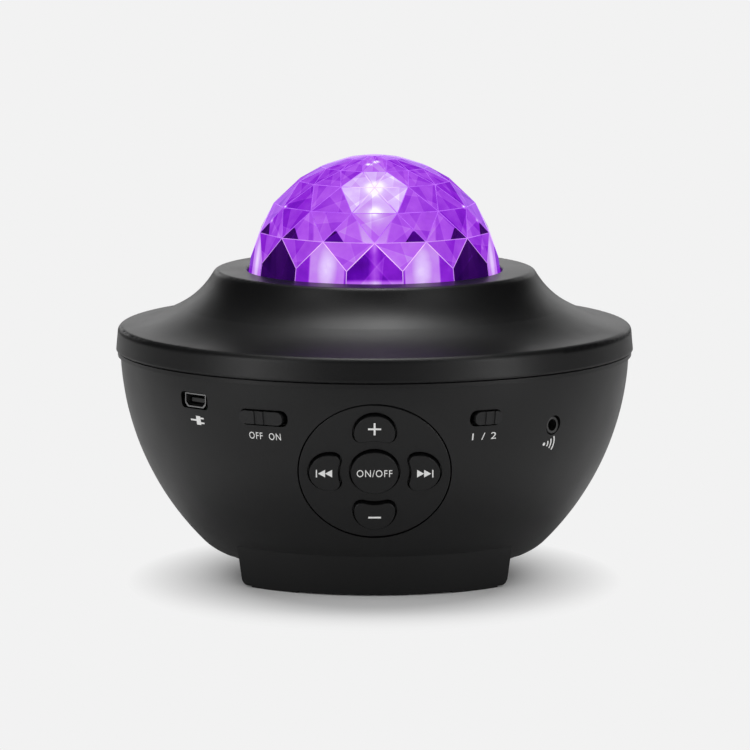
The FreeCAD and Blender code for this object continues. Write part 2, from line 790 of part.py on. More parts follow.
def dome_solid():
    """The faceted outside: a belt of five-sided facets, rows of triangles and a flat cap."""
    half = math.cos(math.pi / dome_facets)
    first = math.radians(dome_latitudes[0])
    apex_radius = dome_radius * math.cos(first)
    apex_rise = dome_rise * math.sin(first)
    lean = math.tan(math.radians(belt_tilt))
    foot_rise = flange_top - flange_height / 2 - dome_center
    shoulder_rise = dome_rise * math.sin(math.radians(belt_shoulder_latitude))
    rows = []
    for rise in (foot_rise, shoulder_rise):
        corner = (apex_radius + (apex_rise - rise) * lean) / half
        rows.append(facet_ring(corner, dome_center + rise, 1))
    for index, latitude in enumerate(dome_latitudes):
        turn = math.radians(latitude)
        rows.append(facet_ring(dome_radius * math.cos(turn),
                               dome_center + dome_rise * math.sin(turn), index % 2))
    faces = [rows[0], rows[-1]]
    for index in range(dome_facets):
        before = index - 1
        faces.append([rows[0][before], rows[0][index], rows[1][index], rows[2][index],
                      rows[1][before]])
        after = (index + 1) % dome_facets
        faces.append([rows[1][index], rows[2][after], rows[2][index]])
        for row in range(2, len(rows) - 1):
            if row % 2 == 0:
                faces.append([rows[row][index], rows[row][after], rows[row + 1][index]])
                faces.append([rows[row + 1][before], rows[row + 1][index], rows[row][index]])
            else:
                faces.append([rows[row][before], rows[row][index], rows[row + 1][index]])
                faces.append([rows[row + 1][index], rows[row + 1][after], rows[row][index]])
    shell = Part.makeShell([Part.Face(Part.makePolygon(face + [face[0]])) for face in faces])
    solid = Part.Solid(shell)
    if solid.Volume < 0:
        solid.reverse()
    return solid


def crystal_dome():
    flange = rod(flange_radius, flange_bottom, flange_top)
    bore = rod(dome_bore_radius, flange_bottom - overrun, dome_center)
    ball = Part.makeSphere(dome_bore_radius, Vector(0, 0, dome_center))
    return joined([dome_solid(), flange]).cut([bore, ball])


def dome_gasket():
    return tube(flange_radius, flange_radius - gasket_width, gasket_bottom, flange_bottom)


def edges_at(shape, height):
    """The edges of a shape that lie at one height."""
    near = tiny_share * bowl_wall
    return [edge for edge in shape.Edges
            if abs(edge.BoundBox.ZMin - height) < near and abs(edge.BoundBox.ZMax - height) < near]


def button_turn(shape, angle):
    copy = shape.copy()
    copy.rotate(Vector(0, 0, 0), Vector(0, 0, 1), angle)
    return copy


button_angles = {"plus": 90.0, "minus": 270.0, "previous": 180.0, "next": 0.0}


def button_plan(name, grow, back, front):
    """A bar of one button's outline, grown all round, between two depths under the surface."""
    if name == "center":
        return rod(center_button_radius + grow, -back, -front)
    disc = rod(outer_button_radius + grow, -back, -front, button_pitch)
    inset = outer_button_inset - grow
    bar = disc.cut(rod(inset, -back - overrun, -front + overrun))
    corners = []
    for edge in upright_edges(bar):
        spot = edge.Vertexes[0].Point
        if abs(spot.y) > outer_button_corner and math.hypot(spot.x, spot.y) < inset + thread_gap:
            corners.append(edge)
    bar = bar.makeFillet(outer_button_corner + grow, corners)
    return button_turn(bar, button_angles[name])


def button_spot(name):
    if name == "center":
        return Vector(0, 0, 0)
    turn = math.radians(button_angles[name])
    return Vector(button_pitch * math.cos(turn), button_pitch * math.sin(turn), 0)


button_names = ["center", "plus", "minus", "previous", "next"]


def control_panel():
    """The round panel: a front wall with five wells, a rim and four ears with posts behind."""
    rim = rod(panel_radius, -collar_depth - ear_thickness, -panel_sink)
    rim = rim.makeFillet(panel_edge, edges_at(rim, -panel_sink))
    hollow = rod(panel_radius - panel_rim_wall, -collar_depth - ear_thickness - overrun,
                 -panel_web_depth)
    ears = []
    holes = []
    for spot in panel_ear_spots():
        ears.append(rod_at(spot, ear_radius, -board_face_depth, -collar_depth))
        ears.append(ear_bridge(spot))
        holes.append(rod_at(spot, key_board_screw_radius + thread_gap,
                            -board_face_depth - overrun, overrun))
    wells = [button_plan(name, button_gap, panel_web_depth + overrun, -overrun)
             for name in button_names]
    bridges = joined([rim] + ears)
    return placed(bridges.cut([hollow] + wells + holes), panel_frame)


def ear_bridge(spot):
    """The plate that joins one ear to the panel's rim."""
    reach = math.hypot(spot.x, spot.y)
    plate = block((panel_radius - panel_rim_wall / 2, -ear_radius,
                   -collar_depth - ear_thickness), (reach, ear_radius, -collar_depth))
    return button_turn(plate, math.degrees(math.atan2(spot.y, spot.x)))


def button(name):
    """A cap in its well, with a wider flange behind the panel and a stem on the plunger."""
    flange_face = panel_web_depth + rest_gap
    flange_back = flange_face + button_flange_thickness
    cap = button_plan(name, 0, flange_face + button_flange_thickness / 2, -button_face)
    cap = cap.makeFillet(button_edge, edges_at(cap, button_face))
    flange = button_plan(name, button_flange_reach, flange_back, flange_face)
    stem = rod_at(button_spot(name), button_stem_radius, -flange_back - button_stem_length,
                  -flange_back)
    return placed(joined([cap, flange, stem]), panel_frame)


def switch_plunger(name):
    """The plunger of one tactile switch: its top touches the button's stem."""
    top = -tact_top_depth + plunger_stand
    return placed(rod_at(button_spot(name), plunger_radius, -tact_top_depth - plunger_foot, top),
                  panel_frame)


def tact_switches():
    bodies = []
    for name in button_names:
        spot = button_spot(name)
        half = tact_side / 2
        body = block((spot.x - half, spot.y - half, -board_face_depth),
                     (spot.x + half, spot.y + half, -tact_top_depth))
        well = rod_at(spot, plunger_radius + running_gap,
                      -tact_top_depth - plunger_foot - button_travel - slip_gap,
                      -tact_top_depth + overrun)
        bodies.append(placed(body.cut(well), panel_frame))
    return group(bodies)


def key_board():
    plate = rounded_block(2 * key_board_half, 2 * key_board_half, -board_back_depth,
                          -board_face_depth, key_board_corner)
    holes = [rod_at(spot, key_board_screw_radius + thread_gap, -board_back_depth - overrun,
                    -board_face_depth + overrun) for spot in panel_ear_spots()]
    return placed(plate.cut(holes), panel_frame)


def screw(radius, length, head_radius, head_height):
    """A screw standing on its head: the head's top face is at zero and the shank points down."""
    head = rod(head_radius, -head_height, 0)
    shank = rod(radius, -head_height - length, -head_height / 2)
    drive = head_radius * recess_share
    slots = [block((-drive, -drive / 3, -head_height * recess_share), (drive, drive / 3, overrun)),
             block((-drive / 3, -drive, -head_height * recess_share), (drive / 3, drive, overrun))]
    return joined([head, shank]).cut(slots)


def turned_over(shape):
    copy = shape.copy()
    copy.rotate(Vector(0, 0, 0), Vector(1, 0, 0), 180)
    return copy


def moved(shape, spot, height):
    copy = shape.copy()
    copy.translate(Vector(spot.x, spot.y, height))
    return copy


def key_board_screws():
    length = board_back_depth - collar_depth + key_board_screw_grip
    one = turned_over(screw(key_board_screw_radius, length, small_head_radius, small_head_height))
    screws = []
    for spot in panel_ear_spots():
        screws.append(placed(moved(one, spot, -board_back_depth - small_head_height), panel_frame))
    return group(screws)


def slide_knob(azimuth, slot_length):
    """A finger piece in its slot, at the end away from the panel, on a flange behind the wall."""
    surface = bowl_radius(switch_height)
    outward = math.copysign(1, azimuth)
    cap_length = slot_length - slide_travel - 2 * slide_end_gap
    cap_height = slot_height - 2 * knob_gap
    shift = outward * slide_travel / 2
    face = surface - slide_pad_depth - rest_gap
    back = face - slide_flange_thickness
    front = surface + knob_stand + overrun
    cap = rounded_block(cap_length, cap_height, back + slide_flange_thickness / 2, front,
                        slot_corner - knob_gap, shift)
    cap = placed(cap, radial_frame(azimuth, switch_height)).common(bowl_body(-knob_stand))
    floor = bowl_body(knob_groove_depth - knob_stand)
    for side in (-1, 1):
        groove = rounded_block(knob_groove_width, cap_height + overrun, surface - slide_pad_depth,
                               front, knob_groove_width / 4, shift + side * knob_groove_pitch / 2)
        groove = placed(groove, radial_frame(azimuth, switch_height))
        cap = cap.cut(groove.cut(floor))
    length = slide_flange_length(slot_length)
    flange = rounded_block(length, slot_height + 2 * slide_flange_cover, back, face,
                           slide_flange_cover, shift)
    lever = block((shift - lever_side / 2, -lever_side / 2, back - lever_length),
                  (shift + lever_side / 2, lever_side / 2, back + slide_flange_thickness / 2))
    parts = [placed(shape, radial_frame(azimuth, switch_height)) for shape in (flange, lever)]
    return joined([cap] + parts)


def slide_switch_box(grow=0):
    front = (bowl_radius(switch_height) - slide_pad_depth - rest_gap - slide_flange_thickness
             - switch_body_gap)
    return block((-switch_body_length / 2 - grow, -switch_body_height / 2, front - switch_body_depth
                  - grow),
                 (switch_body_length / 2 + grow, switch_body_height / 2, front + grow))


def slide_switch_body(azimuth):
    front = slide_switch_box().BoundBox.ZMax
    slot_half = lever_side / 2 + slide_travel / 2 + slip_gap
    slot = block((-slot_half, -lever_side / 2 - slip_gap, front - switch_slot_depth),
                 (slot_half, lever_side / 2 + slip_gap, front + overrun))
    return placed(slide_switch_box().cut(slot), radial_frame(azimuth, switch_height))


def usb_section(grow, low, high):
    """A bar with the socket's outline: a wide box with slanted lower corners."""
    half = usb_shell_width / 2 + grow
    top = usb_shell_height / 2 + grow
    cut = usb_shell_chamfer
    points = [Vector(-half, top, low), Vector(-half, -top + cut, low), Vector(-half + cut, -top, low),
              Vector(half - cut, -top, low), Vector(half, -top + cut, low), Vector(half, top, low)]
    return Part.Face(Part.makePolygon(points + [points[0]])).extrude(Vector(0, 0, high - low))


def usb_socket():
    face = bowl_radius(usb_height) - usb_recess
    back = face - usb_shell_depth
    shell = usb_section(0, back, face).cut(usb_section(-usb_shell_wall, back - overrun,
                                                       face + overrun))
    return placed(shell, radial_frame(-usb_azimuth, usb_height))


def usb_tongue():
    """The plastic block that closes the socket's back, with the contact tongue on it."""
    back = bowl_radius(usb_height) - usb_recess - usb_shell_depth
    plug = usb_section(-usb_shell_wall, back, back + usb_block_depth)
    tongue = block((-usb_tongue_width / 2, -usb_tongue_thickness / 2, back + usb_block_depth / 2),
                   (usb_tongue_width / 2, usb_tongue_thickness / 2,
                    back + usb_block_depth + usb_tongue_length))
    return placed(joined([plug, tongue]), radial_frame(-usb_azimuth, usb_height))


def audio_jack():
    """The jack's body under the main board, with its round nose in the wall's hole."""
    face = bowl_radius(jack_height) - jack_recess
    shoulder = face - jack_nose_length
    lift = board_bottom - jack_height
    body = block((-jack_body_width / 2, -lift, shoulder - jack_body_depth),
                 (jack_body_width / 2, lift, shoulder))
    nose = rod(jack_nose_radius, shoulder - jack_recess, face)
    bore = rod(jack_bore_radius, face - jack_bore_length, face + overrun)
    seat = rod(jack_collar_radius, face - jack_collar_length, face + overrun)
    return placed(joined([body, nose]).cut([bore, seat]), radial_frame(jack_azimuth, jack_height))


def jack_collar():
    face = bowl_radius(jack_height) - jack_recess
    ring = tube(jack_collar_radius, jack_bore_radius, face - jack_collar_length, face)
    return placed(ring, radial_frame(jack_azimuth, jack_height))


def main_board():
    """A crescent board behind the front wall, cut away behind the panel and round the switches."""
    plate = sector(board_outer_radius, board_inner_radius, board_bottom, board_top,
                   -board_half_angle, board_half_angle)
    low, high = board_bottom - overrun, board_top + overrun
    cuts = [block((-board_notch_half_width, -board_outer_radius - overrun, low),
                  (board_notch_half_width, -board_notch_radius, high))]
    for azimuth in (-switch_azimuth, switch_azimuth):
        box = slide_switch_box(rest_gap)
        room = block((box.BoundBox.XMin, box.BoundBox.YMin, box.BoundBox.ZMin),
                     (box.BoundBox.XMax, box.BoundBox.YMax, bowl_radius(switch_height)))
        cuts.append(placed(room, radial_frame(azimuth, switch_height)))
    for azimuth in post_azimuths:
        cuts.append(rod_at(around(azimuth, post_circle_radius), board_screw_radius + thread_gap,
                           low, high))
    return plate.cut(cuts)


def board_screws():
    one = screw(board_screw_radius, board_screw_length, small_head_radius, small_head_height)
    return group([moved(one, around(azimuth, post_circle_radius), board_top + small_head_height)
                  for azimuth in post_azimuths])


def turned_box(azimuth, radius, sides, low):
    long_side, short_side, tall = sides
    box = block((-long_side / 2, 0, radius - short_side / 2), (long_side / 2, tall,
                                                               radius + short_side / 2))
    return placed(box, radial_frame(azimuth, low))


def board_chips():
    return group([turned_box(azimuth, component_circle_radius - sides[1] / 2, sides, board_top)
                  for azimuth, sides in zip(chip_azimuths, chip_sides)])


def board_capacitors():
    return group([rod_at(around(azimuth, component_circle_radius), capacitor_radius, board_top,
                         board_top + capacitor_height) for azimuth in capacitor_azimuths])


def light_chassis():
    """A dish that clamps the dome's flange and carries lamps, laser, bush and motor plate."""
    rim_bottom = gasket_bottom - chassis_wall
    rim = rod(flange_radius, rim_bottom, gasket_bottom)
    dish = rod(chassis_outer_radius, chassis_bottom, gasket_bottom)
    additions = [rim, dish]
    cuts = [rod(chassis_outer_radius - chassis_wall, chassis_floor_top, gasket_bottom + overrun),
            rod(bush_radius, chassis_bottom - overrun, chassis_floor_top + overrun)]
    for azimuth in chassis_azimuths:
        spot = around(azimuth, chassis_boss_circle)
        additions.append(rod_at(spot, chassis_ear_radius, rim_bottom, gasket_bottom))
        arm = block((-chassis_ear_radius, -chassis_wall, chassis_outer_radius),
                    (chassis_ear_radius, 0, chassis_boss_circle))
        additions.append(placed(arm, radial_frame(azimuth, gasket_bottom)))
        cuts.append(rod_at(spot, chassis_screw_radius + thread_gap, rim_bottom - overrun,
                           gasket_bottom + overrun))
    for azimuth in motor_post_azimuths:
        spot = around(azimuth, motor_post_circle)
        additions.append(rod_at(spot, motor_post_radius, motor_plate_top, chassis_floor_top))
        cuts.append(rod_at(spot, chassis_screw_radius + thread_gap, motor_plate_top - overrun,
                           chassis_floor_top - chassis_floor / 2))
    cuts.append(rod_at(around(0, laser_circle_radius), laser_radius, chassis_bottom - overrun,
                       chassis_floor_top + overrun))
    cuts.append(rod_at(lamp_lead_spot(0), lead_pitch / 2 + lead_radius + slip_gap,
                       chassis_bottom - overrun, chassis_floor_top + overrun))
    return joined(additions).cut(cuts)


def chassis_screws():
    one = turned_over(screw(chassis_screw_radius, chassis_screw_length, small_head_radius,
                            small_head_height))
    low = gasket_bottom - chassis_wall - small_head_height
    return group([moved(one, around(azimuth, chassis_boss_circle), low)
                  for azimuth in chassis_azimuths])


def motor_plate_screws():
    length = motor_plate_thickness + motor_post_length
    one = turned_over(screw(chassis_screw_radius, length, small_head_radius, small_head_height))
    return group([moved(one, around(azimuth, motor_post_circle),
                        motor_plate_bottom - small_head_height)
                  for azimuth in motor_post_azimuths])


def lamp_board():
    plate = tube(lamp_board_radius, lamp_board_bore, chassis_floor_top, lamp_board_top)
    return plate.cut(rod_at(around(0, laser_circle_radius), laser_radius + seat_gap,
                            chassis_floor_top - overrun, lamp_board_top + overrun))


def lamps():
    shapes = []
    for index in range(lamp_count):
        azimuth = lamp_start_azimuth + index * 360 / lamp_count
        shapes.append(turned_box(azimuth, lamp_circle_radius, (lamp_side, lamp_side, lamp_height),
                                 lamp_board_top))
    return group(shapes)


def laser_top():
    return lamp_board_top + laser_stand - grating_height


def laser_module():
    spot = around(0, laser_circle_radius)
    barrel = rod_at(spot, laser_radius, laser_top() - laser_length, laser_top())
    mouth = rod_at(spot, laser_mouth_radius, laser_top() - laser_mouth_depth,
                   laser_top() + overrun)
    return barrel.cut(mouth)


def laser_grating():
    spot = around(0, laser_circle_radius)
    cap = rod_at(spot, laser_radius, laser_top(), laser_top() + grating_height)
    return cap.cut(rod_at(spot, laser_radius - grating_lip, laser_top() + grating_height / 2,
                          laser_top() + grating_height + overrun))


def spindle_bush():
    body = rod(bush_radius, chassis_bottom, chassis_floor_top)
    flange = rod(bush_flange_radius, chassis_floor_top, chassis_floor_top + bush_flange_height)
    return joined([body, flange]).cut(rod(spindle_radius + running_gap,
                                          chassis_bottom - overrun, lamp_board_top + overrun))


def disc_spindle():
    return rod(spindle_radius, motor_plate_bottom, disc_top + spindle_stand)


def wave_disc():
    """A clear disc with curved ribs that bend the light, on a hub that reaches down the spindle."""
    disc = rod(wave_disc_radius, disc_bottom, disc_top)
    hub = rod(hub_radius, chassis_floor_top + bush_flange_height + slip_gap, disc_bottom)
    ribs = []
    middle = (hub_radius + wave_disc_radius) / 2
    reach = (wave_disc_radius - hub_radius) / 2 - wave_rib_width
    for index in range(wave_rib_count):
        arc = tube(reach / 2 + wave_rib_width / 2, reach / 2 - wave_rib_width / 2,
                   disc_top - wave_rib_height, disc_top + wave_rib_height)
        spot = around(index * 360 / wave_rib_count, middle + reach / 2)
        arc.translate(spot)
        half = rod(middle + reach / 2, disc_bottom, disc_top + overrun)
        ribs.append(arc.common(half))
    return joined([disc, hub] + ribs).cut(rod(spindle_radius, motor_plate_bottom,
                                              disc_top + overrun))


def disc_clip():
    return tube(clip_radius, spindle_radius, disc_top, disc_top + clip_height)


def involute(angle):
    return math.tan(angle) - angle


def gear_face(teeth, height):
    """A spur gear's outline with involute flanks, each tooth thinned by half the backlash."""
    pitch = gear_module * teeth / 2
    pressure = math.radians(pressure_angle)
    base = pitch * math.cos(pressure)
    tip = pitch + gear_module * gear_addendum_share
    root = pitch - gear_module * gear_dedendum_share
    half_tooth = math.pi / (2 * teeth) - gear_backlash / (4 * pitch)
    start = max(base, root)
    flank = []
    for step in range(4):
        radius = start + (tip - start) * step / 3
        turn = half_tooth + involute(pressure) - involute(math.acos(base / radius))
        flank.append((radius, turn))
    if root < base:
        flank.insert(0, (root, flank[0][1]))
    points = []
    for index in range(teeth):
        centre = 2 * math.pi * index / teeth
        for radius, turn in flank:
            points.append(Vector(radius * math.cos(centre - turn),
                                 radius * math.sin(centre - turn), height))
        for radius, turn in reversed(flank):
            points.append(Vector(radius * math.cos(centre + turn),
                                 radius * math.sin(centre + turn), height))
    return Part.Face(Part.makePolygon(points + [points[0]]))


def disc_gear():
    wheel = gear_face(disc_gear_teeth, gear_bottom).extrude(Vector(0, 0, gear_thickness))
    hub = rod(gear_hub_radius, gear_bottom - gear_hub_height, gear_bottom)
    return joined([wheel, hub]).cut(rod(spindle_radius, motor_plate_bottom, gear_top + overrun))


def motor_spot():
    return around(180, gear_distance)


def drive_pinion():
    low = gear_top - (gear_thickness + pinion_thickness) / 2
    wheel = gear_face(pinion_teeth, low).extrude(Vector(0, 0, pinion_thickness))
    wheel.rotate(Vector(0, 0, 0), Vector(0, 0, 1), 180 / pinion_teeth)
    wheel = wheel.cut(rod(motor_shaft_radius, low - overrun, low + pinion_thickness + overrun))
    return moved(wheel, motor_spot(), 0)


def motor_shaft():
    top = gear_top + (pinion_thickness - gear_thickness) / 2 + motor_shaft_stand
    return rod_at(motor_spot(), motor_shaft_radius, motor_plate_bottom - motor_length / 2, top)


def gear_motor():
    can = rod_at(motor_spot(), motor_radius, motor_plate_bottom - motor_length, motor_plate_bottom)
    boss = rod_at(motor_spot(), motor_boss_radius, motor_plate_bottom, motor_plate_top)
    bore = rod_at(motor_spot(), motor_shaft_radius + running_gap,
                  motor_plate_bottom - motor_length / 2 - slip_gap, motor_plate_top + overrun)
    return joined([can, boss]).cut(bore)


def motor_plate():
    plate = rod(motor_plate_radius, motor_plate_bottom, motor_plate_top)
    low, high = motor_plate_bottom - overrun, motor_plate_top + overrun
    cuts = [rod(spindle_radius + running_gap, low, high),
            rod_at(motor_spot(), motor_boss_radius, low, high),
            rod_at(around(0, laser_circle_radius), laser_radius + overrun, low, high)]
    for azimuth in motor_post_azimuths:
        cuts.append(rod_at(around(azimuth, motor_post_circle), chassis_screw_radius + thread_gap,
                           low, high))
    return plate.cut(cuts)


def grille_spots():
    spots = [Vector(0, 0, 0)]
    for ring in range(1, grille_rings + 1):
        for index in range(6 * ring):
            spots.append(around(index * 60 / ring, ring * grille_hole_pitch))
    return spots


def speaker_grille():
    plate = rod(grille_radius, underside_height, underside_height + grille_thickness)
    holes = [rod_at(spot, grille_hole_radius, underside_height - overrun,
                    underside_height + grille_thickness + overrun) for spot in grille_spots()]
    return plate.cut(holes)


def speaker_frame():
    """A pressed basket: a flange on the floor and a tapering wall with windows."""
    wall = speaker_basket_wall
    section = profile(
        Vector(cone_edge_radius, 0, floor_top), Vector(speaker_flange_radius, 0, floor_top),
        Vector(speaker_flange_radius, 0, speaker_flange_top),
        Vector(cone_edge_radius + wall, 0, speaker_flange_top),
        Vector(speaker_neck_radius + wall, 0, basket_top),
        Vector(cone_throat_radius + wall, 0, basket_top),
        Vector(cone_throat_radius + wall, 0, basket_top - wall),
        Vector(speaker_neck_radius, 0, basket_top - wall),
        Vector(cone_edge_radius, 0, speaker_flange_top))
    cuts = []
    low = speaker_flange_top + speaker_basket_height / 4
    high = basket_top - speaker_basket_height / 4
    for index in range(speaker_window_count):
        azimuth = index * 360 / speaker_window_count
        window = block((-speaker_neck_radius / 2, low, speaker_neck_radius / 2),
                       (speaker_neck_radius / 2, high, cone_edge_radius + overrun))
        cuts.append(placed(window, radial_frame(azimuth, 0)))
    for azimuth in speaker_screw_azimuths:
        cuts.append(rod_at(around(azimuth, speaker_screw_circle),
                           speaker_screw_radius + thread_gap, floor_top - overrun,
                           speaker_flange_top + overrun))
    return spun(section).cut(cuts)


def speaker_screws():
    one = screw(speaker_screw_radius, speaker_screw_length, small_head_radius, small_head_height)
    return group([moved(one, around(azimuth, speaker_screw_circle),
                        speaker_flange_top + small_head_height)
                  for azimuth in speaker_screw_azimuths])


def speaker_magnet():
    return rod(magnet_radius, basket_top, magnet_top)


def speaker_cone():
    """The paper cone with its dust cap, fixed to the frame at its edge."""
    thick = cone_thickness
    low = floor_top
    high = low + cone_height
    return spun(profile(
        Vector(0, 0, high - dust_cap_height), Vector(cone_throat_radius, 0, high),
        Vector(cone_edge_radius - 2 * speaker_basket_wall, 0, low + thick),
        Vector(cone_edge_radius, 0, low + thick), Vector(cone_edge_radius, 0, low),
        Vector(cone_edge_radius - 3 * speaker_basket_wall, 0, low),
        Vector(cone_throat_radius, 0, high - 2 * thick),
        Vector(0, 0, high - dust_cap_height - thick)))


def housing_screws():
    one = turned_over(screw(screw_radius, screw_length, screw_head_radius, screw_head_height))
    low = tower_split_height - tower_web - screw_head_height
    return group([moved(one, spot, low) for spot in tower_spots()])


def rubber_feet():
    return group(pad_shapes(0, pad_stand + pad_bed))


def lead(points, radius):
    """A wire along straight runs joined by arcs that touch both runs."""
    edges = []
    here = points[0]
    for before, corner, after in zip(points, points[1:], points[2:]):
        into = corner.sub(before)
        away = after.sub(corner)
        reach = min(into.Length, away.Length) * bend_share
        into.normalize()
        away.normalize()
        begin = corner.sub(into * reach)
        end = corner.add(away * reach)
        half_turn = into.getAngle(away) / 2
        bow = Vector(away.sub(into)).normalize()
        bend_radius = reach / math.tan(half_turn)
        centre = corner.add(bow * (bend_radius / math.cos(half_turn)))
        edges.append(Part.LineSegment(here, begin).toShape())
        edges.append(Part.Arc(begin, centre.sub(bow * bend_radius), end).toShape())
        here = end
    edges.append(Part.LineSegment(here, points[-1]).toShape())
    path = Part.Wire(edges)
    start = points[1].sub(points[0])
    ring = Part.Wire(Part.Circle(points[0], start, radius).toShape())
    return path.makePipeShell([ring], True, True)


def lead_pair(route):
    """Two wires side by side: the route is shifted half a pitch each way along Y."""
    wires = []
    for side in (-1, 1):
        shift = Vector(0, side * lead_pitch / 2, 0)
        wires.append(lead([point.add(shift) for point in route], lead_radius))
    return group(wires)


def speaker_leads():
    """From the speaker's flange up past a tower to the main board's underside."""
    start = around(-90, speaker_screw_circle, speaker_flange_top)
    end = around(-lead_azimuth, lead_end_radius, board_bottom)
    return lead_pair([start, start.add(Vector(0, 0, lead_rise)),
                      Vector((start.x + end.x) / 2, end.y / 2, lead_shoulder_height),
                      end.sub(Vector(0, 0, lead_drop)), end])


def motor_leads():
    """From the motor's lower end round the back to the main board's underside."""
    start = motor_spot().add(Vector(0, 0, motor_plate_bottom - motor_length))
    end = around(lead_azimuth, lead_end_radius, board_bottom)
    drop = Vector(0, 0, lead_drop)
    return lead_pair([start, start.sub(drop),
                      Vector(end.x / 2, start.y / 2, start.z - lead_drop),
                      end.sub(drop), end])


def lamp_lead_spot(height):
    return around(-lead_azimuth, lamp_lead_end_radius, height)


def lamp_leads():
    """From the main board up over the motor plate and through the chassis to the lamp board."""
    start = around(-lead_azimuth, lamp_lead_radius, board_top)
    end = lamp_lead_spot(chassis_floor_top)
    return lead_pair([start, start.add(Vector(0, 0, lead_drop)),
                      around(-lead_azimuth, lamp_lead_shoulder, motor_plate_top + chassis_floor),
                      lamp_lead_spot((motor_plate_top + chassis_bottom) / 2), end])


def key_ribbon():
    """A flat cable that leaves the key board square to it and bends up to the main board."""
    start = panel_frame.multVec(Vector(0, ribbon_rise, -board_back_depth))
    near = ribbon_bend - ribbon_thickness / 2
    far = ribbon_bend + ribbon_thickness / 2
    centre = start.add(Vector(0, -ribbon_bend * math.sin(panel_lean),
                              ribbon_bend * math.cos(panel_lean)))

    def bend(radius, turn):
        return Vector(0, centre.y + radius * math.sin(turn), centre.z - radius * math.cos(turn))

    middle = (panel_lean + math.pi / 2) / 2
    edges = [Part.Arc(bend(far, panel_lean), bend(far, middle), bend(far, math.pi / 2)).toShape(),
             Part.LineSegment(bend(far, math.pi / 2),
                              Vector(0, centre.y + far, board_bottom)).toShape(),
             Part.LineSegment(Vector(0, centre.y + far, board_bottom),
                              Vector(0, centre.y + near, board_bottom)).toShape(),
             Part.LineSegment(Vector(0, centre.y + near, board_bottom),
                              bend(near, math.pi / 2)).toShape(),
             Part.Arc(bend(near, math.pi / 2), bend(near, middle), bend(near, panel_lean)).toShape(),
             Part.LineSegment(bend(near, panel_lean), bend(far, panel_lean)).toShape()]
    strip = Part.Face(Part.Wire(edges)).extrude(Vector(ribbon_width, 0, 0))
    strip.translate(Vector(-ribbon_width / 2, 0, 0))
    return strip


names_and_makers = {
    "top_cover": top_cover,
    "crystal_dome": crystal_dome,
    "dome_gasket": dome_gasket,
    "bowl_housing": bowl_housing,
    "rubber_feet": rubber_feet,
    "housing_screws": housing_screws,
    "speaker_grille": speaker_grille,
    "speaker_frame": speaker_frame,
    "speaker_cone": speaker_cone,
    "speaker_magnet": speaker_magnet,
    "speaker_screws": speaker_screws,
    "control_panel": control_panel,
    "key_board": key_board,
    "key_board_screws": key_board_screws,
    "tact_switches": tact_switches,
    "usb_socket": usb_socket,
    "usb_tongue": usb_tongue,
    "audio_jack": audio_jack,
    "jack_collar": jack_collar,
    "main_board": main_board,
    "board_screws": board_screws,
    "board_chips": board_chips,
    "board_capacitors": board_capacitors,
    "light_chassis": light_chassis,
    "chassis_screws": chassis_screws,
    "lamp_board": lamp_board,
    "lamps": lamps,
    "laser_module": laser_module,
    "laser_grating": laser_grating,
    "spindle_bush": spindle_bush,
    "disc_spindle": disc_spindle,
    "wave_disc": wave_disc,
    "disc_clip": disc_clip,
    "disc_gear": disc_gear,
    "drive_pinion": drive_pinion,
    "motor_shaft": motor_shaft,
    "gear_motor": gear_motor,
    "motor_plate": motor_plate,
    "motor_plate_screws": motor_plate_screws,
    "speaker_leads": speaker_leads,
    "motor_leads": motor_leads,
    "lamp_leads": lamp_leads,
    "key_ribbon": key_ribbon,
}

os.makedirs("parts", exist_ok=True)
for node, maker in names_and_makers.items():
    save(node, maker())
for name in button_names:
    save("button_" + name, button(name))
    save("plunger_" + name, switch_plunger(name))
save("power_switch_knob", slide_knob(-switch_azimuth, power_slot_length))
save("power_switch_body", slide_switch_body(-switch_azimuth))
save("mode_switch_knob", slide_knob(switch_azimuth, mode_slot_length))
save("mode_switch_body", slide_switch_body(switch_azimuth))
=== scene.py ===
import json
import math
import random

import bmesh
import bpy
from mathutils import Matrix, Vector
from mathutils.bvhtree import BVHTree


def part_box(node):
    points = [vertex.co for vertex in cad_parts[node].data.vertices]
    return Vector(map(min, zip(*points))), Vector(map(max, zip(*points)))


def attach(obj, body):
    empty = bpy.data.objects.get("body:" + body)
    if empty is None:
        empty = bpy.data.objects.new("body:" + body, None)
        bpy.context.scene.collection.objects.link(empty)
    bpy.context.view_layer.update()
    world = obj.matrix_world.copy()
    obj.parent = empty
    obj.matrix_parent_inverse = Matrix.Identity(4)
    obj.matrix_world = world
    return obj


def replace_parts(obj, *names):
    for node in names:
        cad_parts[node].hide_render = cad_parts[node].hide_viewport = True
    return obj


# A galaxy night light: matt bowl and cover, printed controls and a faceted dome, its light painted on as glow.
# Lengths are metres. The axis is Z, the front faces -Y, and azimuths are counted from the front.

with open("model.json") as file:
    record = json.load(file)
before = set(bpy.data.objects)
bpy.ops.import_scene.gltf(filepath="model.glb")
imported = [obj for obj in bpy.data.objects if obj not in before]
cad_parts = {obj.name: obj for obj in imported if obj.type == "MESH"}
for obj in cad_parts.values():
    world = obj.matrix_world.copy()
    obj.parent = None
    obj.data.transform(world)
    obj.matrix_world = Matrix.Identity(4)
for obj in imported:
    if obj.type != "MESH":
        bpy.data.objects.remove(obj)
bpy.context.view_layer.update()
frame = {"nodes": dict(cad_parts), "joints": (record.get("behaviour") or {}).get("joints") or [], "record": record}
cad_nodes = frame["nodes"]

mm = 0.001

# Camera: where the photograph was taken from
photo_side_px = 750
lens_px = 5537.8                       # focal length in pixels of the photograph
axis_px = 374.6                        # column of the object's axis
sensor_width = 36.0                    # millimetres, like the lens that goes with it
camera_distance = 1.7
camera_height = 0.2994
camera_drop = 8.022                    # degrees below the horizon
camera_clip = (0.05, 60.0)

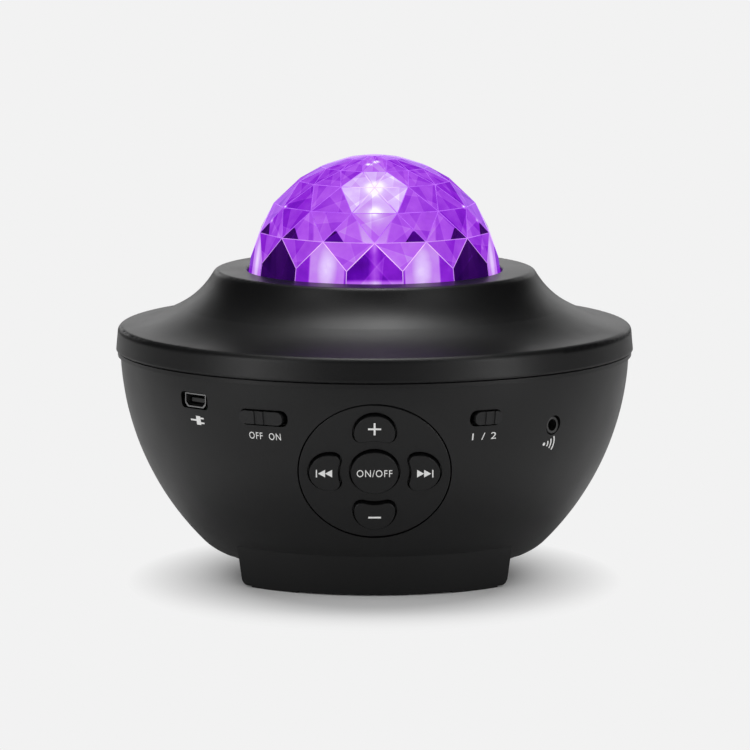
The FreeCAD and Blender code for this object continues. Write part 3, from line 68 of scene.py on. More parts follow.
# Dome
dome_radius = 39.1 * mm                # to the corners of the facets
dome_rise = 37.65 * mm                 # the same, upwards
dome_facets = 14
dome_latitudes = (22.4, 37.3, 52.7, 64.9, 77.5, 86.0)
shoulder_latitude = 9.1
belt_tilt = 8.0
dome_bore = 34.5 * mm
flange_radius = 43.0 * mm
flange_height = 2.0 * mm
facet_edge = 0.13 * mm                 # rounding along the facets' edges
flat_angle = 1.0                       # degrees: triangles that meet flatter are one facet
base_normal = -0.9                     # Z of a normal: the face that closes the dome below
top_normal = 0.99                      # the level facet at the top
row_digits = 5                         # heights of one row agree to this many decimals
belt_corners, upper_corners = 5, 3     # of a facet in the belt and of one above it
bore_segments = 96
bore_rows = 18                         # from the bore's upright wall to its middle
facet_zone, edge_zone, inside_zone = 0, 1, 2            # places of the dome's materials

# Kinds of facet, by the painted light and shade on them
plain_kind, painted_dark_belt_kind, window_kind, corner_kind = 0.0, 1.0, 2.0, 3.0
kind_play = 0.2                        # a kind is read back to within this

# Painted light in the dome, as a glowing tone for each facet: 0 is dark and 1 is white
hot_columns = (0, 5, 9)                # facet corners over a lamp, counted round the dome
hot_row = 2                            # their row of latitude
tone_seed = 7
# Painted glow of a plain facet, what a near lamp adds to it, and its random play
plain_tone, lamp_gain, tone_play = 0.45, 0.18, 0.045
hot_tone, hot_play, hot_reach = 0.83, 0.03, 8 * mm      # facets that meet over a lamp, painted brightest
# Belt facets painted dark as shade, and the painted lamp light they get
painted_dark_belt_tone, painted_dark_belt_gain = 0.08, 0.25
# Belt facets painted pale as lit windows
window_tone = 0.40
top_tone = 0.5
lamp_spread = 52.0                     # degrees from a lamp to where its painted light adds nothing
corner_glow = (5.5 * mm, 0.5)          # reach and gain of the painted glow at a lamp's corner
lower_glow = (5.0 * mm, 0.4)           # and of the painted glow under it
# Painted glints: small bright highlights on the facets
glint_gain = 0.9
glints = ((-2.75, 30.0, 1.6 * mm), (-2.45, 38.0, 1.3 * mm), (2.45, 38.0, 1.4 * mm),
          (2.75, 30.0, 1.6 * mm), (2.5, 17.0, 1.5 * mm), (3.0, 12.0, 1.3 * mm),
          (-0.35, 73.0, 1.6 * mm), (0.1, 76.0, 1.8 * mm))   # column, latitude and reach
# Colours of the painted glow, by its tone
glow_colours = ((0.0, (0.006, 0.0005, 0.018)), (0.16, (0.018, 0.001, 0.05)),
                (0.30, (0.10, 0.002, 0.36)), (0.42, (0.24, 0.015, 0.60)),
                (0.56, (0.40, 0.085, 0.76)), (0.64, (0.48, 0.14, 0.82)),
                (0.76, (0.58, 0.31, 0.83)), (0.88, (0.72, 0.52, 0.93)), (1.0, (1.0, 0.95, 1.0)))

# Painted light and shade on a facet, which change its tone. A place on it runs across from -1 to 1,
# away from the front, and up from 0 to 1. A pair of limits is where a pattern starts to fade and where it ends.
mottle_size, mottle = 5 * mm, 0.035
cut_lines = ((0.0, 0.1, 0.05), (2.2, -0.15, 0.04), (4.0, 0.25, 0.035))   # painted steps of light where cuts show through: turn, offset and step
cut_blur = 0.01                        # half width of the painted step at a cut seen through the facet
cut_glow, cut_glow_reach = 0.05, 0.03
cut_shares, cut_tones = (0.7, 0.8), (1.0, 0.35)         # a bright facet's cuts are weaker
painted_streak_gain, streak_reach = 0.32, 0.22                  # painted light up the middle of a belt facet painted dark
streak_noise, streak_levels, streak_limits = 4 * mm, (0.5, 1.3), (0.35, 0.65)
foot_gain, foot_reach = 0.32, (0.40, 0.45)              # the painted bright foot of such a facet
lit_belt_tones = (0.1, 0.26)           # the tones between which a belt facet painted dark gets its painted light
window_shift = 0.22                    # of a window's pane painted pale, towards the lamp
# A window's painted pane light and its painted glowing middle
window_gain, window_edge = 0.30, (0.64, 0.70)
window_middle, window_glow, window_glow_reach = 0.58, 0.2, 0.16
painted_corner_shade, dark_blur, dark_height = -0.38, 0.03, (0.36, 0.40)   # painted shade in the lower corner of a facet on the belt
dark_start, dark_slope = 0.17, 0.87                     # its slanted edge
painted_corner_light, pale_edge, pale_slope = 0.17, (0.42, 0.50), 0.4      # painted light in the corner across from it
pale_top, pale_fade = 0.5, 0.6

# Clear materials
crystal_ior = 1.05                     # low, so that the wall doesn't mirror the floor
facet_base, facet_roughness, facet_clearness = (0.015, 0.0015, 0.045), 0.04, 0.25
edge_base, edge_roughness, edge_clearness = (0.2, 0.08, 0.3), 0.05, 0.3
# Painted glow of the edges, its colours changing from place to place
edge_glow_colours = ((0.27, 0.04, 0.62), (0.43, 0.12, 0.79))
edge_break, edge_limits, edge_light = 6 * mm, (0.36, 0.6), 0.9    # where the painted glow's colours change, and its strength
# Painted highlight along the edges round the belt
belt_edge_highlight = (1.0, 0.66, 0.95)
belt_edge_fade = (-1.2 * mm, 0.6 * mm)                  # from the height of the belt's top
belt_edge_reach, belt_edge_rest = (24 * mm, 34 * mm), 0.3   # from a lamp, and what is left beyond
# Painted highlight on the edges near a lamp
hot_edge_highlight = (0.82, 0.66, 0.97)
hot_edge_reach = (6.5 * mm, 8.5 * mm)
# The inside's clear material, and its faint painted violet glow in patches
inside_base, inside_clearness, inside_glow_patch_size = (0.75, 0.5, 0.95), 0.95, 5 * mm
inside_glow_colour, inside_light = (0.30, 0.05, 0.70), 0.02

# Stage
floor_side = 40.0
floor_white, floor_roughness = 0.88, 0.9
background_grey = (0.888, 0.888, 0.888)
shade_shape = (1.0, 0.85, 1.0)         # the shaded floor is longer from front to back
shade_shift = (0, 0.021, 0)            # its middle lies about 25 mm in front of the axis
shade_start = 0.040                    # nearer to that middle the floor is truly lit and shaded
shade_end = 0.076                      # and from here on it is plain
ambient = 0.40                         # world's light on rough surfaces
dark_wall = 0.02                       # world in reflections
floor_in_gloss = 0.75                  # the floor's brightness in reflections
lamp_aim = 0.07
# Name, azimuth, elevation, distance, width and height, and power in watts
softboxes = (("roof_softbox", 180.0, 80.0, 1.2, (0.6, 0.6), 4.6),
             ("top_softbox", 180.0, 82.0, 1.1, (0.35, 0.35), 2.1),
             ("back_softbox", 180.0, 14.0, 1.6, (1.8, 0.5), 4.0),
             ("left_softbox", -57.0, 10.0, 1.2, (0.25, 0.5), 1.9),
             ("right_softbox", 57.0, 10.0, 1.2, (0.25, 0.5), 1.9),
             ("left_high_softbox", -50.0, 52.0, 1.2, (0.35, 0.35), 0.9),
             ("right_high_softbox", 50.0, 52.0, 1.2, (0.35, 0.35), 0.9),
             ("left_near_softbox", -43.0, 15.0, 1.2, (0.16, 0.3), 1.0),
             ("right_near_softbox", 43.0, 15.0, 1.2, (0.16, 0.3), 1.0))

# Print
print_lift = 0.06 * mm
print_depth = 0.03 * mm
letter_space = 1.15
stroke = 0.58 * mm                     # line width of the plus and minus signs
sign_shift = 1.8 * mm                  # outer buttons' signs, outwards from their plungers
wall_reach = 72 * mm                   # about the bowl's radius, where its labels start
cast_start = 20 * mm                   # above a surface, from where a sign is laid on it
button_words_size = (10.6 * mm, 2.4 * mm)
power_words_size = (10.4 * mm, 2.1 * mm)
mode_words_size = (8.0 * mm, 2.1 * mm)
power_words_place = (-25.3, 51.2 * mm)   # azimuth and height
mode_words_place = (25.3, 51.2 * mm)
usb_sign_place = (-43.5, 54.0 * mm)
jack_sign_place = (44.4, 46.7 * mm)


def feed(tree, socket, value):
    """Links a socket to another one, or sets its value."""
    if isinstance(value, bpy.types.NodeSocket):
        tree.links.new(value, socket)
    else:
        socket.default_value = value


def add_node(tree, kind, inputs=None, **settings):
    node = tree.nodes.new(kind)
    for key, value in settings.items():
        setattr(node, key, value)
    for key, value in (inputs or {}).items():
        feed(tree, node.inputs[key], value)
    return node


def maths(tree, operation, *values):
    return add_node(tree, "ShaderNodeMath", dict(enumerate(values)),
                    operation=operation).outputs[0]


def placed(name, data):
    """A new object in the scene."""
    thing = bpy.data.objects.new(name, data)
    bpy.context.scene.collection.objects.link(thing)
    return thing


def mesh_of(thing):
    """A plain mesh of an object, which is then removed."""
    graph = bpy.context.evaluated_depsgraph_get()
    mesh = bpy.data.meshes.new_from_object(thing.evaluated_get(graph))
    bpy.data.objects.remove(thing)
    return mesh


def piece_from(mesh, name, body, material=None):
    """A new piece at the origin that rides on a body and takes its finish from a slot."""
    piece = placed(name, mesh)
    if material is not None:
        mesh.materials.clear()
        mesh.materials.append(material)
    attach(piece, body)
    return piece


# Materials


class Finish:
    """A material under construction: its tree, its shader and short ways to add nodes."""

    def __init__(self, name, colour, roughness, **sockets):
        self.material = bpy.data.materials.new(name)
        self.material.use_nodes = True
        self.tree = self.material.node_tree
        self.shader = self.tree.nodes["Principled BSDF"]
        self.shader.inputs["Base Color"].default_value = (*colour, 1)
        self.shader.inputs["Roughness"].default_value = roughness
        for socket, value in sockets.items():
            self.shader.inputs[socket.replace("_", " ")].default_value = value

    def add(self, kind, inputs=None, **settings):
        return add_node(self.tree, kind, inputs, **settings)

    def maths(self, operation, *values):
        return maths(self.tree, operation, *values)

    def times(self, first, second):
        return self.maths("MULTIPLY", first, second)

    def total(self, first, *others):
        for other in others:
            first = self.maths("ADD", first, other)
        return first

    def point(self, stretch=(1, 1, 1), shift=(0, 0, 0)):
        place = self.add("ShaderNodeTexCoord").outputs["Object"]
        return self.add("ShaderNodeMapping", {"Vector": place, "Scale": stretch,
                                              "Location": shift}).outputs[0]

    def noise(self, size, stretch=(1, 1, 1), detail=2.0):
        node = self.add("ShaderNodeTexNoise", {"Vector": self.point(stretch), "Scale": 1 / size,
                                               "Detail": detail})
        return node.outputs[0]

    def between(self, value, low, high, start=0.3, end=0.7):
        node = self.add("ShaderNodeMapRange", {"Value": value, "From Min": start, "From Max": end,
                                               "To Min": low, "To Max": high})
        return node.outputs[0]

    def tinted(self, factor, first, second):
        """A mix of two colours, each given as a colour or as a socket."""
        node = self.add("ShaderNodeMix", {"Factor": factor}, data_type="RGBA")
        sockets = [socket for socket in node.inputs if socket.type == "RGBA"]
        for socket, colour in zip(sockets, (first, second)):
            given = isinstance(colour, bpy.types.NodeSocket)
            feed(self.tree, socket, colour if given else (*colour, 1))
        return next(socket for socket in node.outputs if socket.type == "RGBA")

    def bump(self, height, distance, normal=None):
        inputs = {"Height": height, "Distance": distance, "Strength": 1.0}
        if normal is not None:
            inputs["Normal"] = normal
        return self.add("ShaderNodeBump", inputs).outputs[0]

    def distances(self, spots):
        """How far the surface is from each of some points."""
        where = self.add("ShaderNodeTexCoord").outputs["Object"]
        return [self.add("ShaderNodeVectorMath", {0: where, 1: spot},
                         operation="DISTANCE").outputs["Value"] for spot in spots]

    def drive(self, socket, value):
        feed(self.tree, self.shader.inputs[socket], value)

    def glow(self, colour, strength):
        self.drive("Emission Color", colour)
        self.shader.inputs["Emission Strength"].default_value = strength


def scaled(colour, share):
    return tuple(min(1.0, channel * share) for channel in colour)


def moulded(name, colour, roughness, grain=0.45 * mm, depth=0.012 * mm, round_edge=0.12 * mm,
            cloud=22 * mm, sheen_play=0.03, tone_play=0.15, **sockets):
    """Textured moulded plastic: an eroded grain, faint clouds in its sheen and soft edges."""
    finish = Finish(name, colour, roughness, **sockets)
    grains = finish.noise(grain, detail=3.0)
    clouds = finish.noise(cloud, detail=3.0)
    finish.drive("Roughness", finish.between(clouds, roughness - sheen_play,
                                             roughness + sheen_play))
    finish.drive("Base Color", finish.tinted(finish.between(grains, 0, 1),
                                             scaled(colour, 1 - tone_play),
                                             scaled(colour, 1 + tone_play)))
    edge = finish.add("ShaderNodeBevel", {"Radius": round_edge}, samples=4).outputs[0]
    finish.drive("Normal", finish.bump(grains, depth, edge))
    return finish


def metal(name, colour, roughness, stretch=(1, 1, 0.06), size=0.25 * mm, depth=0.002 * mm,
          cloud=6 * mm, shares=(0.88, 1.06), sheens=(-0.05, 0.07)):
    """Metal with fine lines along its machining and a slight change of tone."""
    finish = Finish(name, colour, roughness, Metallic=1.0)
    lines = finish.noise(size, stretch, 3.0)
    clouds = finish.noise(cloud)
    finish.drive("Base Color", finish.tinted(finish.between(clouds, 0, 1),
                                             *[scaled(colour, share) for share in shares]))
    finish.drive("Roughness", finish.between(lines, *[roughness + sheen for sheen in sheens]))
    finish.drive("Normal", finish.bump(lines, depth))
    return finish


def board_finish(name, mask, line, roughness=0.32, brick=7 * mm, track=0.035, depth=0.02 * mm):
    """Solder mask with tracks showing through it."""
    finish = Finish(name, mask, roughness)
    tracks = finish.add("ShaderNodeTexBrick", {"Vector": finish.point(), "Scale": 1 / brick,
                                               "Mortar Size": track, "Color1": (0, 0, 0, 1),
                                               "Color2": (0, 0, 0, 1), "Mortar": (1, 1, 1, 1)})
    finish.drive("Base Color", finish.tinted(tracks.outputs["Color"], mask, line))
    finish.drive("Normal", finish.bump(tracks.outputs["Fac"], depth))
    return finish


def pressed_paper(name, colour, roughness=0.85, fibre=0.8 * mm, shares=(0.7, 1.4),
                  depth=0.06 * mm):
    """Pressed paper: short fibres that lie one way."""
    finish = Finish(name, colour, roughness)
    fibres = finish.noise(fibre, (1, 0.4, 1), 4.0)
    finish.drive("Base Color", finish.tinted(finish.between(fibres, 0, 1),
                                             *[scaled(colour, share) for share in shares]))
    finish.drive("Normal", finish.bump(fibres, depth))
    return finish


def clear_ribbed(name, tint, roughness=0.06, ior=1.49, clearness=0.9, flow=3 * mm,
                 depth=0.05 * mm):
    """Clear acrylic for the disc and the grating, with flow marks."""
    finish = Finish(name, tint, roughness, IOR=ior, Transmission_Weight=clearness)
    marks = finish.noise(flow, detail=1.0)
    finish.drive("Normal", finish.bump(marks, depth))
    return finish


def lit(name, colour, strength, roughness=0.3, spot=1.2 * mm):
    """The face of a lamp: a bright phosphor patch with a softer border."""
    finish = Finish(name, colour, roughness)
    spots = finish.noise(spot, detail=1.0)
    finish.glow(finish.tinted(finish.between(spots, 0, 1), colour, (1, 1, 1)), strength)
    return finish


def printed(name, colour, roughness=0.55, speck=0.12 * mm, thin_share=0.9, depth=0.003 * mm):
    """Pad-printed ink: pale, dry, with a faint unevenness."""
    finish = Finish(name, colour, roughness)
    specks = finish.noise(speck, detail=2.0)
    finish.drive("Base Color", finish.tinted(finish.between(specks, 0, 1),
                                             scaled(colour, thin_share), colour))
    finish.drive("Normal", finish.bump(specks, depth))
    return finish


def seen_cuts(finish, tone, kind, cut, across, up):
    """Painted light of cuts seen through a facet: steps in its glowing tone, each with a thin glow. Windows have
    none.
    """
    window = finish.maths("COMPARE", kind, window_kind, kind_play)
    share = finish.times(finish.between(tone, *cut_shares, *cut_tones),
                         finish.maths("SUBTRACT", 1.0, window))
    cuts = []
    for turn, offset, step in cut_lines:
        angle = finish.total(finish.times(cut, math.tau), turn)
        line = finish.total(finish.times(across, finish.maths("COSINE", angle)),
                            finish.times(finish.maths("SUBTRACT", up, 0.5),
                                         finish.maths("SINE", angle)), offset)
        away = finish.maths("ABSOLUTE", line)
        cuts += [finish.times(share, finish.between(line, -step, step, -cut_blur, cut_blur)),
                 finish.times(share, finish.between(away, cut_glow, 0.0, 0.0, cut_glow_reach))]
    return cuts


def belt_light(finish, tone, across, up):
    """A belt facet painted dark, near a lamp: a painted soft streak of light up its middle and a painted bright
    foot.
    """
    streak = finish.times(
        finish.between(finish.maths("ABSOLUTE", across), painted_streak_gain, 0.0, 0.0, streak_reach),
        finish.between(finish.noise(streak_noise, (1, 1, 0.5)), *streak_levels, *streak_limits))
    lamp_side = finish.between(tone, 0.0, 1.0, *lit_belt_tones)
    foot = finish.between(up, foot_gain, 0.0, *foot_reach)
    return [finish.times(streak, lamp_side), finish.times(foot, lamp_side)]


def window_light(finish, across, up):
    """A window of the belt: a pane painted pale with light, with a painted brighter middle."""
    pane = finish.maths("ABSOLUTE", finish.total(across, window_shift))
    rise = finish.maths("SUBTRACT", up, window_middle)
    middle = finish.total(finish.times(pane, pane), finish.times(rise, rise))
    return [finish.between(pane, window_gain, 0.0, *window_edge),
            finish.between(middle, window_glow, 0.0, 0.0, window_glow_reach)]


def corner_light(finish, across, up):
    """A facet that stands on the belt: a lower corner painted dark as shade and one painted pale with light."""
    wedge = finish.maths("SUBTRACT", finish.maths("SUBTRACT", across, dark_start),
                         finish.times(up, dark_slope))
    slope = finish.maths("SUBTRACT", finish.total(across, 1.0), finish.times(up, pale_slope))
    return [finish.times(finish.between(wedge, 0.0, painted_corner_shade, 0.0, dark_blur),
                         finish.between(up, 1.0, 0.0, *dark_height)),
            finish.times(finish.between(slope, painted_corner_light, 0.0, *pale_edge),
                         finish.between(up, 1.0, pale_top, 0.0, pale_fade))]


def crystal_facets(name, glows):
    """The dome's facets, with painted violet glow: the light inside the thick wall is painted stronger in some
    facets.
    """
    finish = Finish(name, facet_base, facet_roughness, IOR=crystal_ior,
                    Transmission_Weight=facet_clearness)
    tone, kind, cut = [finish.add("ShaderNodeAttribute", attribute_name=label).outputs["Fac"]
                       for label in ("tone", "kind", "cut")]
    place = finish.add("ShaderNodeSeparateXYZ", {
        "Vector": finish.add("ShaderNodeUVMap", uv_map="facet").outputs[0]})
    across, up = place.outputs[0], place.outputs[1]
    parts = [tone, finish.between(finish.noise(mottle_size, detail=4.0), -mottle, mottle)]
    parts += seen_cuts(finish, tone, kind, cut, across, up)
    for number, patterns in ((painted_dark_belt_kind, belt_light(finish, tone, across, up)),
                             (window_kind, window_light(finish, across, up)),
                             (corner_kind, corner_light(finish, across, up))):
        here = finish.maths("COMPARE", kind, number, kind_play)
        parts += [finish.times(here, pattern) for pattern in patterns]
    # Painted hot spots round the lamps and painted glints
    distances = finish.distances([spot for spot, _, _ in glows])
    for distance, (_, reach, gain) in zip(distances, glows):
        near = finish.between(distance, 1.0, 0.0, 0.0, reach)
        parts.append(finish.times(finish.times(near, near), gain))
    ramp = finish.add("ShaderNodeValToRGB", {"Fac": finish.total(*parts)})
    stops = ramp.color_ramp.elements
    for position, _ in glow_colours[1:-1]:
        stops.new(position)
    for stop, (_, colour) in zip(stops, glow_colours):
        stop.color = (*colour, 1)
    # The facets glow with this painted light
    finish.glow(ramp.outputs["Color"], 1.0)
    return finish


def crystal_edges(name, belt_top, lamps):
    """Polished edges between facets, with painted glow and highlights, most of all round the belt."""
    finish = Finish(name, edge_base, edge_roughness, IOR=crystal_ior,
                    Transmission_Weight=edge_clearness)
    height = finish.add("ShaderNodeSeparateXYZ", {"Vector": finish.point()}).outputs["Z"]
    nearest, *others = finish.distances(lamps)
    for distance in others:
        nearest = finish.maths("MINIMUM", distance, nearest)
    on_belt = finish.times(
        finish.between(height, 1.0, 0.0, *[belt_top + limit for limit in belt_edge_fade]),
        finish.between(nearest, 1.0, belt_edge_rest, *belt_edge_reach))
    breaks = finish.between(finish.noise(edge_break, detail=2.0), 0.0, 1.0, *edge_limits)
    colour = finish.tinted(breaks, *edge_glow_colours)
    colour = finish.tinted(on_belt, colour, belt_edge_highlight)
    colour = finish.tinted(finish.between(nearest, 1.0, 0.0, *hot_edge_reach), colour,
                           hot_edge_highlight)
    finish.glow(colour, edge_light)
    return finish


def crystal_inside(name, dim_patch_share=0.6):
    """The dome's smooth inside, with a faint painted violet glow in patches."""
    finish = Finish(name, inside_base, facet_roughness, IOR=crystal_ior,
                    Transmission_Weight=inside_clearness)
    glow_patches = finish.noise(inside_glow_patch_size, detail=2.0)
    finish.glow(finish.tinted(finish.between(glow_patches, 0, 1), scaled(inside_glow_colour, dim_patch_share),
                              inside_glow_colour), inside_light)
    return finish


def make_finishes():
    black, gloss = (0.003, 0.003, 0.0033), {"Specular_IOR_Level": 0.4}
    return {
        "shell": moulded("textured_black", black, 0.40, depth=0.03 * mm, **gloss),
        "cover": moulded("cover_black", black, 0.40, depth=0.03 * mm, round_edge=1.0 * mm,
                         **gloss),
        "panel": moulded("panel_black", black, 0.40, **gloss),
        "button": moulded("button_black", black, 0.40, **gloss),
        "slider": moulded("slider_black", (0.008, 0.008, 0.0085), 0.5, grain=0.3 * mm, **gloss),
        "rubber": moulded("strip_rubber", (0.006, 0.006, 0.006), 0.8, grain=0.25 * mm),
        "grille": moulded("grille_black", (0.008, 0.008, 0.009), 0.55, grain=0.3 * mm),
        "steel": metal("plated_steel", (0.56, 0.56, 0.57), 0.32),
        "shell_steel": metal("socket_steel", (0.30, 0.30, 0.30), 0.42, (1, 1, 0.3)),
        "collar": metal("collar_dark", (0.10, 0.10, 0.10), 0.38, (1, 1, 0.3)),
        "brass": metal("turned_brass", (0.62, 0.44, 0.18), 0.3, (1, 1, 0.1)),
        "magnet": metal("magnet_dark", (0.09, 0.09, 0.095), 0.5, (1, 1, 1), 0.6 * mm),
        "paper": pressed_paper("cone_paper", (0.02, 0.02, 0.021)),
        "board": board_finish("green_mask", (0.01, 0.09, 0.035), (0.03, 0.19, 0.07)),
        "lamp_board": board_finish("white_mask", (0.72, 0.72, 0.73), (0.60, 0.60, 0.62)),
        "black_part": moulded("component_black", (0.014, 0.014, 0.014), 0.38, grain=0.2 * mm),
        "white_plastic": moulded("white_moulded", (0.62, 0.60, 0.62), 0.45, grain=0.3 * mm),
        "lead": moulded("lead_sleeve", (0.36, 0.03, 0.02), 0.45, grain=0.5 * mm),
        "disc": clear_ribbed("clear_acrylic", (0.80, 0.62, 0.97)),
        "lamp": lit("lamp_face", (0.55, 0.16, 1.0), 2.5),
        "print": printed("pale_ink", (0.80, 0.80, 0.79)),
    }


slot_finishes = {
    "black_shell": "shell", "black_panel": "panel", "black_button": "button",
    "black_slider": "slider", "clear_disc": "disc", "rubber": "rubber", "dark_grille": "grille",
    "steel": "steel", "magnet": "magnet", "paper_cone": "paper", "board": "board",
    "lamp_board": "lamp_board", "lamp": "lamp", "black_part": "black_part",
    "white_plastic": "white_plastic", "brass": "brass", "lead_insulation": "lead",
}
node_finishes = {"top_cover": "cover", "usb_socket": "shell_steel", "jack_collar": "collar"}


def dress_nodes(finishes):
    """Nodes of the frame get the finish of their slot. The dome isn't here: it is replaced."""
    for row in frame["record"]["subparts"]:
        name = row["node"]
        if row["material_slot"] not in slot_finishes:
            continue
        finish = finishes[node_finishes.get(name, slot_finishes[row["material_slot"]])]
        slots = cad_nodes[name].data.materials
        slots.clear()
        slots.append(finish.material)


# The dome's shape and its marks


def group_tree(name, inputs):
    """A geometry tree with named inputs and one geometry output."""
    tree = bpy.data.node_groups.new(name, "GeometryNodeTree")
    tree.interface.new_socket(name="Geometry", in_out="OUTPUT", socket_type="NodeSocketGeometry")
    for label, kind, value in inputs:
        socket = tree.interface.new_socket(name=label, in_out="INPUT",
                                           socket_type="NodeSocket" + kind)
        if value is not None:
            socket.default_value = value
    given = tree.nodes.new("NodeGroupInput")
    result = tree.nodes.new("NodeGroupOutput")
    return tree, {socket.name: socket for socket in given.outputs}, result


def picked(tree, index, values):
    """One of several values, by a whole number."""
    node = add_node(tree, "GeometryNodeIndexSwitch", data_type="FLOAT")
    while len(node.index_switch_items) < len(values):
        node.index_switch_items.new()
    feed(tree, node.inputs["Index"], index)
    for place, value in enumerate(values):
        feed(tree, node.inputs[str(place)], value)
    return node.outputs[0]


def baked(tree, values):
    """The tree's result as a plain mesh."""
    holder = placed(tree.name, bpy.data.meshes.new(tree.name))
    modifier = holder.modifiers.new(tree.name, "NODES")
    modifier.node_group = tree
    for item in tree.interface.items_tree:
        if item.in_out == "INPUT" and item.name in values:
            modifier[item.identifier] = values[item.name]
    holder.update_tag()
    return mesh_of(holder)


def facet_tree(count):
    """Corners of the facets by row and column, closed by their hull."""
    latitudes = ["Latitude %d" % (index + 1) for index in range(count)]
    tree, given, result = group_tree("facet_dome", [
        ("Facets", "Int", dome_facets), ("Radius", "Float", 0.0), ("Rise", "Float", 0.0),
        ("Centre", "Float", 0.0), ("Foot", "Float", 0.0), ("Shoulder", "Float", 0.0),
        ("Lean", "Float", 0.0), ("Material", "Material", None)]
        + [(label, "Float", 0.0) for label in latitudes])
    corners = maths(tree, "MULTIPLY", given["Facets"], count + 2)
    index = add_node(tree, "GeometryNodeInputIndex").outputs[0]
    row = maths(tree, "FLOOR", maths(tree, "DIVIDE", index, given["Facets"]))
    column = maths(tree, "MODULO", index, given["Facets"])
    step = maths(tree, "DIVIDE", math.tau, given["Facets"])
    angles = [maths(tree, "RADIANS", given[label]) for label in latitudes]
    reaches = [maths(tree, "MULTIPLY", given["Radius"], maths(tree, "COSINE", angle))
               for angle in angles]
    rises = [maths(tree, "MULTIPLY", given["Rise"], maths(tree, "SINE", angle))
             for angle in angles]
    half = maths(tree, "COSINE", maths(tree, "DIVIDE", step, 2.0))
    lean = maths(tree, "TANGENT", maths(tree, "RADIANS", given["Lean"]))
    belt = []
    for rise in (given["Foot"], given["Shoulder"]):
        out = maths(tree, "MULTIPLY", maths(tree, "SUBTRACT", rises[0], rise), lean)
        belt.append(maths(tree, "DIVIDE", maths(tree, "ADD", reaches[0], out), half))
    reach = picked(tree, row, belt + reaches)
    rise = picked(tree, row, [given["Foot"], given["Shoulder"]] + rises)
    stagger = maths(tree, "MODULO", maths(tree, "MAXIMUM", row, 1.0), 2.0)
    turn = maths(tree, "MULTIPLY", step,
                 maths(tree, "ADD", column, maths(tree, "DIVIDE", stagger, 2.0)))
    back = maths(tree, "MULTIPLY", reach, maths(tree, "COSINE", turn))
    place = add_node(tree, "ShaderNodeCombineXYZ", {
        "X": maths(tree, "MULTIPLY", reach, maths(tree, "SINE", turn)),
        "Y": maths(tree, "MULTIPLY", back, -1.0),
        "Z": maths(tree, "ADD", given["Centre"], rise)}).outputs[0]
    points = add_node(tree, "GeometryNodePoints", {"Count": corners, "Position": place})
    hull = add_node(tree, "GeometryNodeConvexHull", {"Geometry": points.outputs[0]})
    real = add_node(tree, "GeometryNodeRealizeInstances", {"Geometry": hull.outputs[0]})
    painted = add_node(tree, "GeometryNodeSetMaterial", {"Geometry": real.outputs[0],
                                                         "Material": given["Material"]})
    tree.links.new(painted.outputs[0], result.inputs[0])
    return tree


def lathe(shape, outline, segments, material_index):
    """Rings of vertices along an outline of (radius, height) and the faces between them."""
    rings = []
    for radius, height in outline:
        if radius == 0:
            rings.append([shape.verts.new((0, 0, height))])
            continue
        rings.append([shape.verts.new((radius * math.sin(math.tau * step / segments),
                                       -radius * math.cos(math.tau * step / segments), height))
                      for step in range(segments)])
    for lower, upper in zip(rings, rings[1:]):
        for step in range(segments):
            after = (step + 1) % segments
            corners = [lower[step], lower[after]] if len(lower) > 1 else [lower[0]]
            corners += [upper[after], upper[step]] if len(upper) > 1 else [upper[0]]
            face = shape.faces.new(corners)
            face.smooth = True
            face.material_index = material_index
    return rings


def azimuth_of(point):
    return math.degrees(math.atan2(point.x, -point.y))


def facet_place(face):
    """A facet's azimuth, the direction along it, its half width and its lowest and highest Z."""
    turn = azimuth_of(face.calc_center_median())
    along = Vector((math.cos(math.radians(turn)), math.sin(math.radians(turn)), 0))
    half = max(abs(loop.vert.co.dot(along)) for loop in face.loops)
    heights = [loop.vert.co.z for loop in face.loops]
    return turn, along, half, min(heights), max(heights)


def rise_at(latitude):
    """The height of a row of the dome's corners above its centre."""
    return dome_rise * math.sin(math.radians(latitude))


def on_dome(column, latitude, centre):
    """A point on the dome's skin at a column, which may be a half, and a latitude."""
    turn = math.tau / dome_facets * column
    reach = dome_radius * math.cos(math.radians(latitude))
    return Vector((reach * math.sin(turn), -reach * math.cos(turn), centre + rise_at(latitude)))


def lamp_spots(centre):
    """The facet corners over the lamps."""
    return [on_dome(column, dome_latitudes[hot_row], centre) for column in hot_columns]


def glow_spots(centre):
    """Where the painted light in the wall is strongest, and the painted glints, each with its reach and its gain.
    """
    spots = []
    for column, lamp in zip(hot_columns, lamp_spots(centre)):
        left, right = [on_dome(column + side, dome_latitudes[hot_row - 1], centre)
                       for side in (-0.5, 0.5)]
        spots += [(lamp, *corner_glow), ((left + right) / 2, *lower_glow)]
    return spots + [(on_dome(column, latitude, centre), reach, glint_gain)
                    for column, latitude, reach in glints]


def lamp_nearness(turn):
    """1 in front of a lamp, falling to 0 about half way to the next one."""
    step = 360 / dome_facets
    away = min(abs((turn - column * step + 180) % 360 - 180) for column in hot_columns)
    return max(0.0, 1.0 - away / lamp_spread)


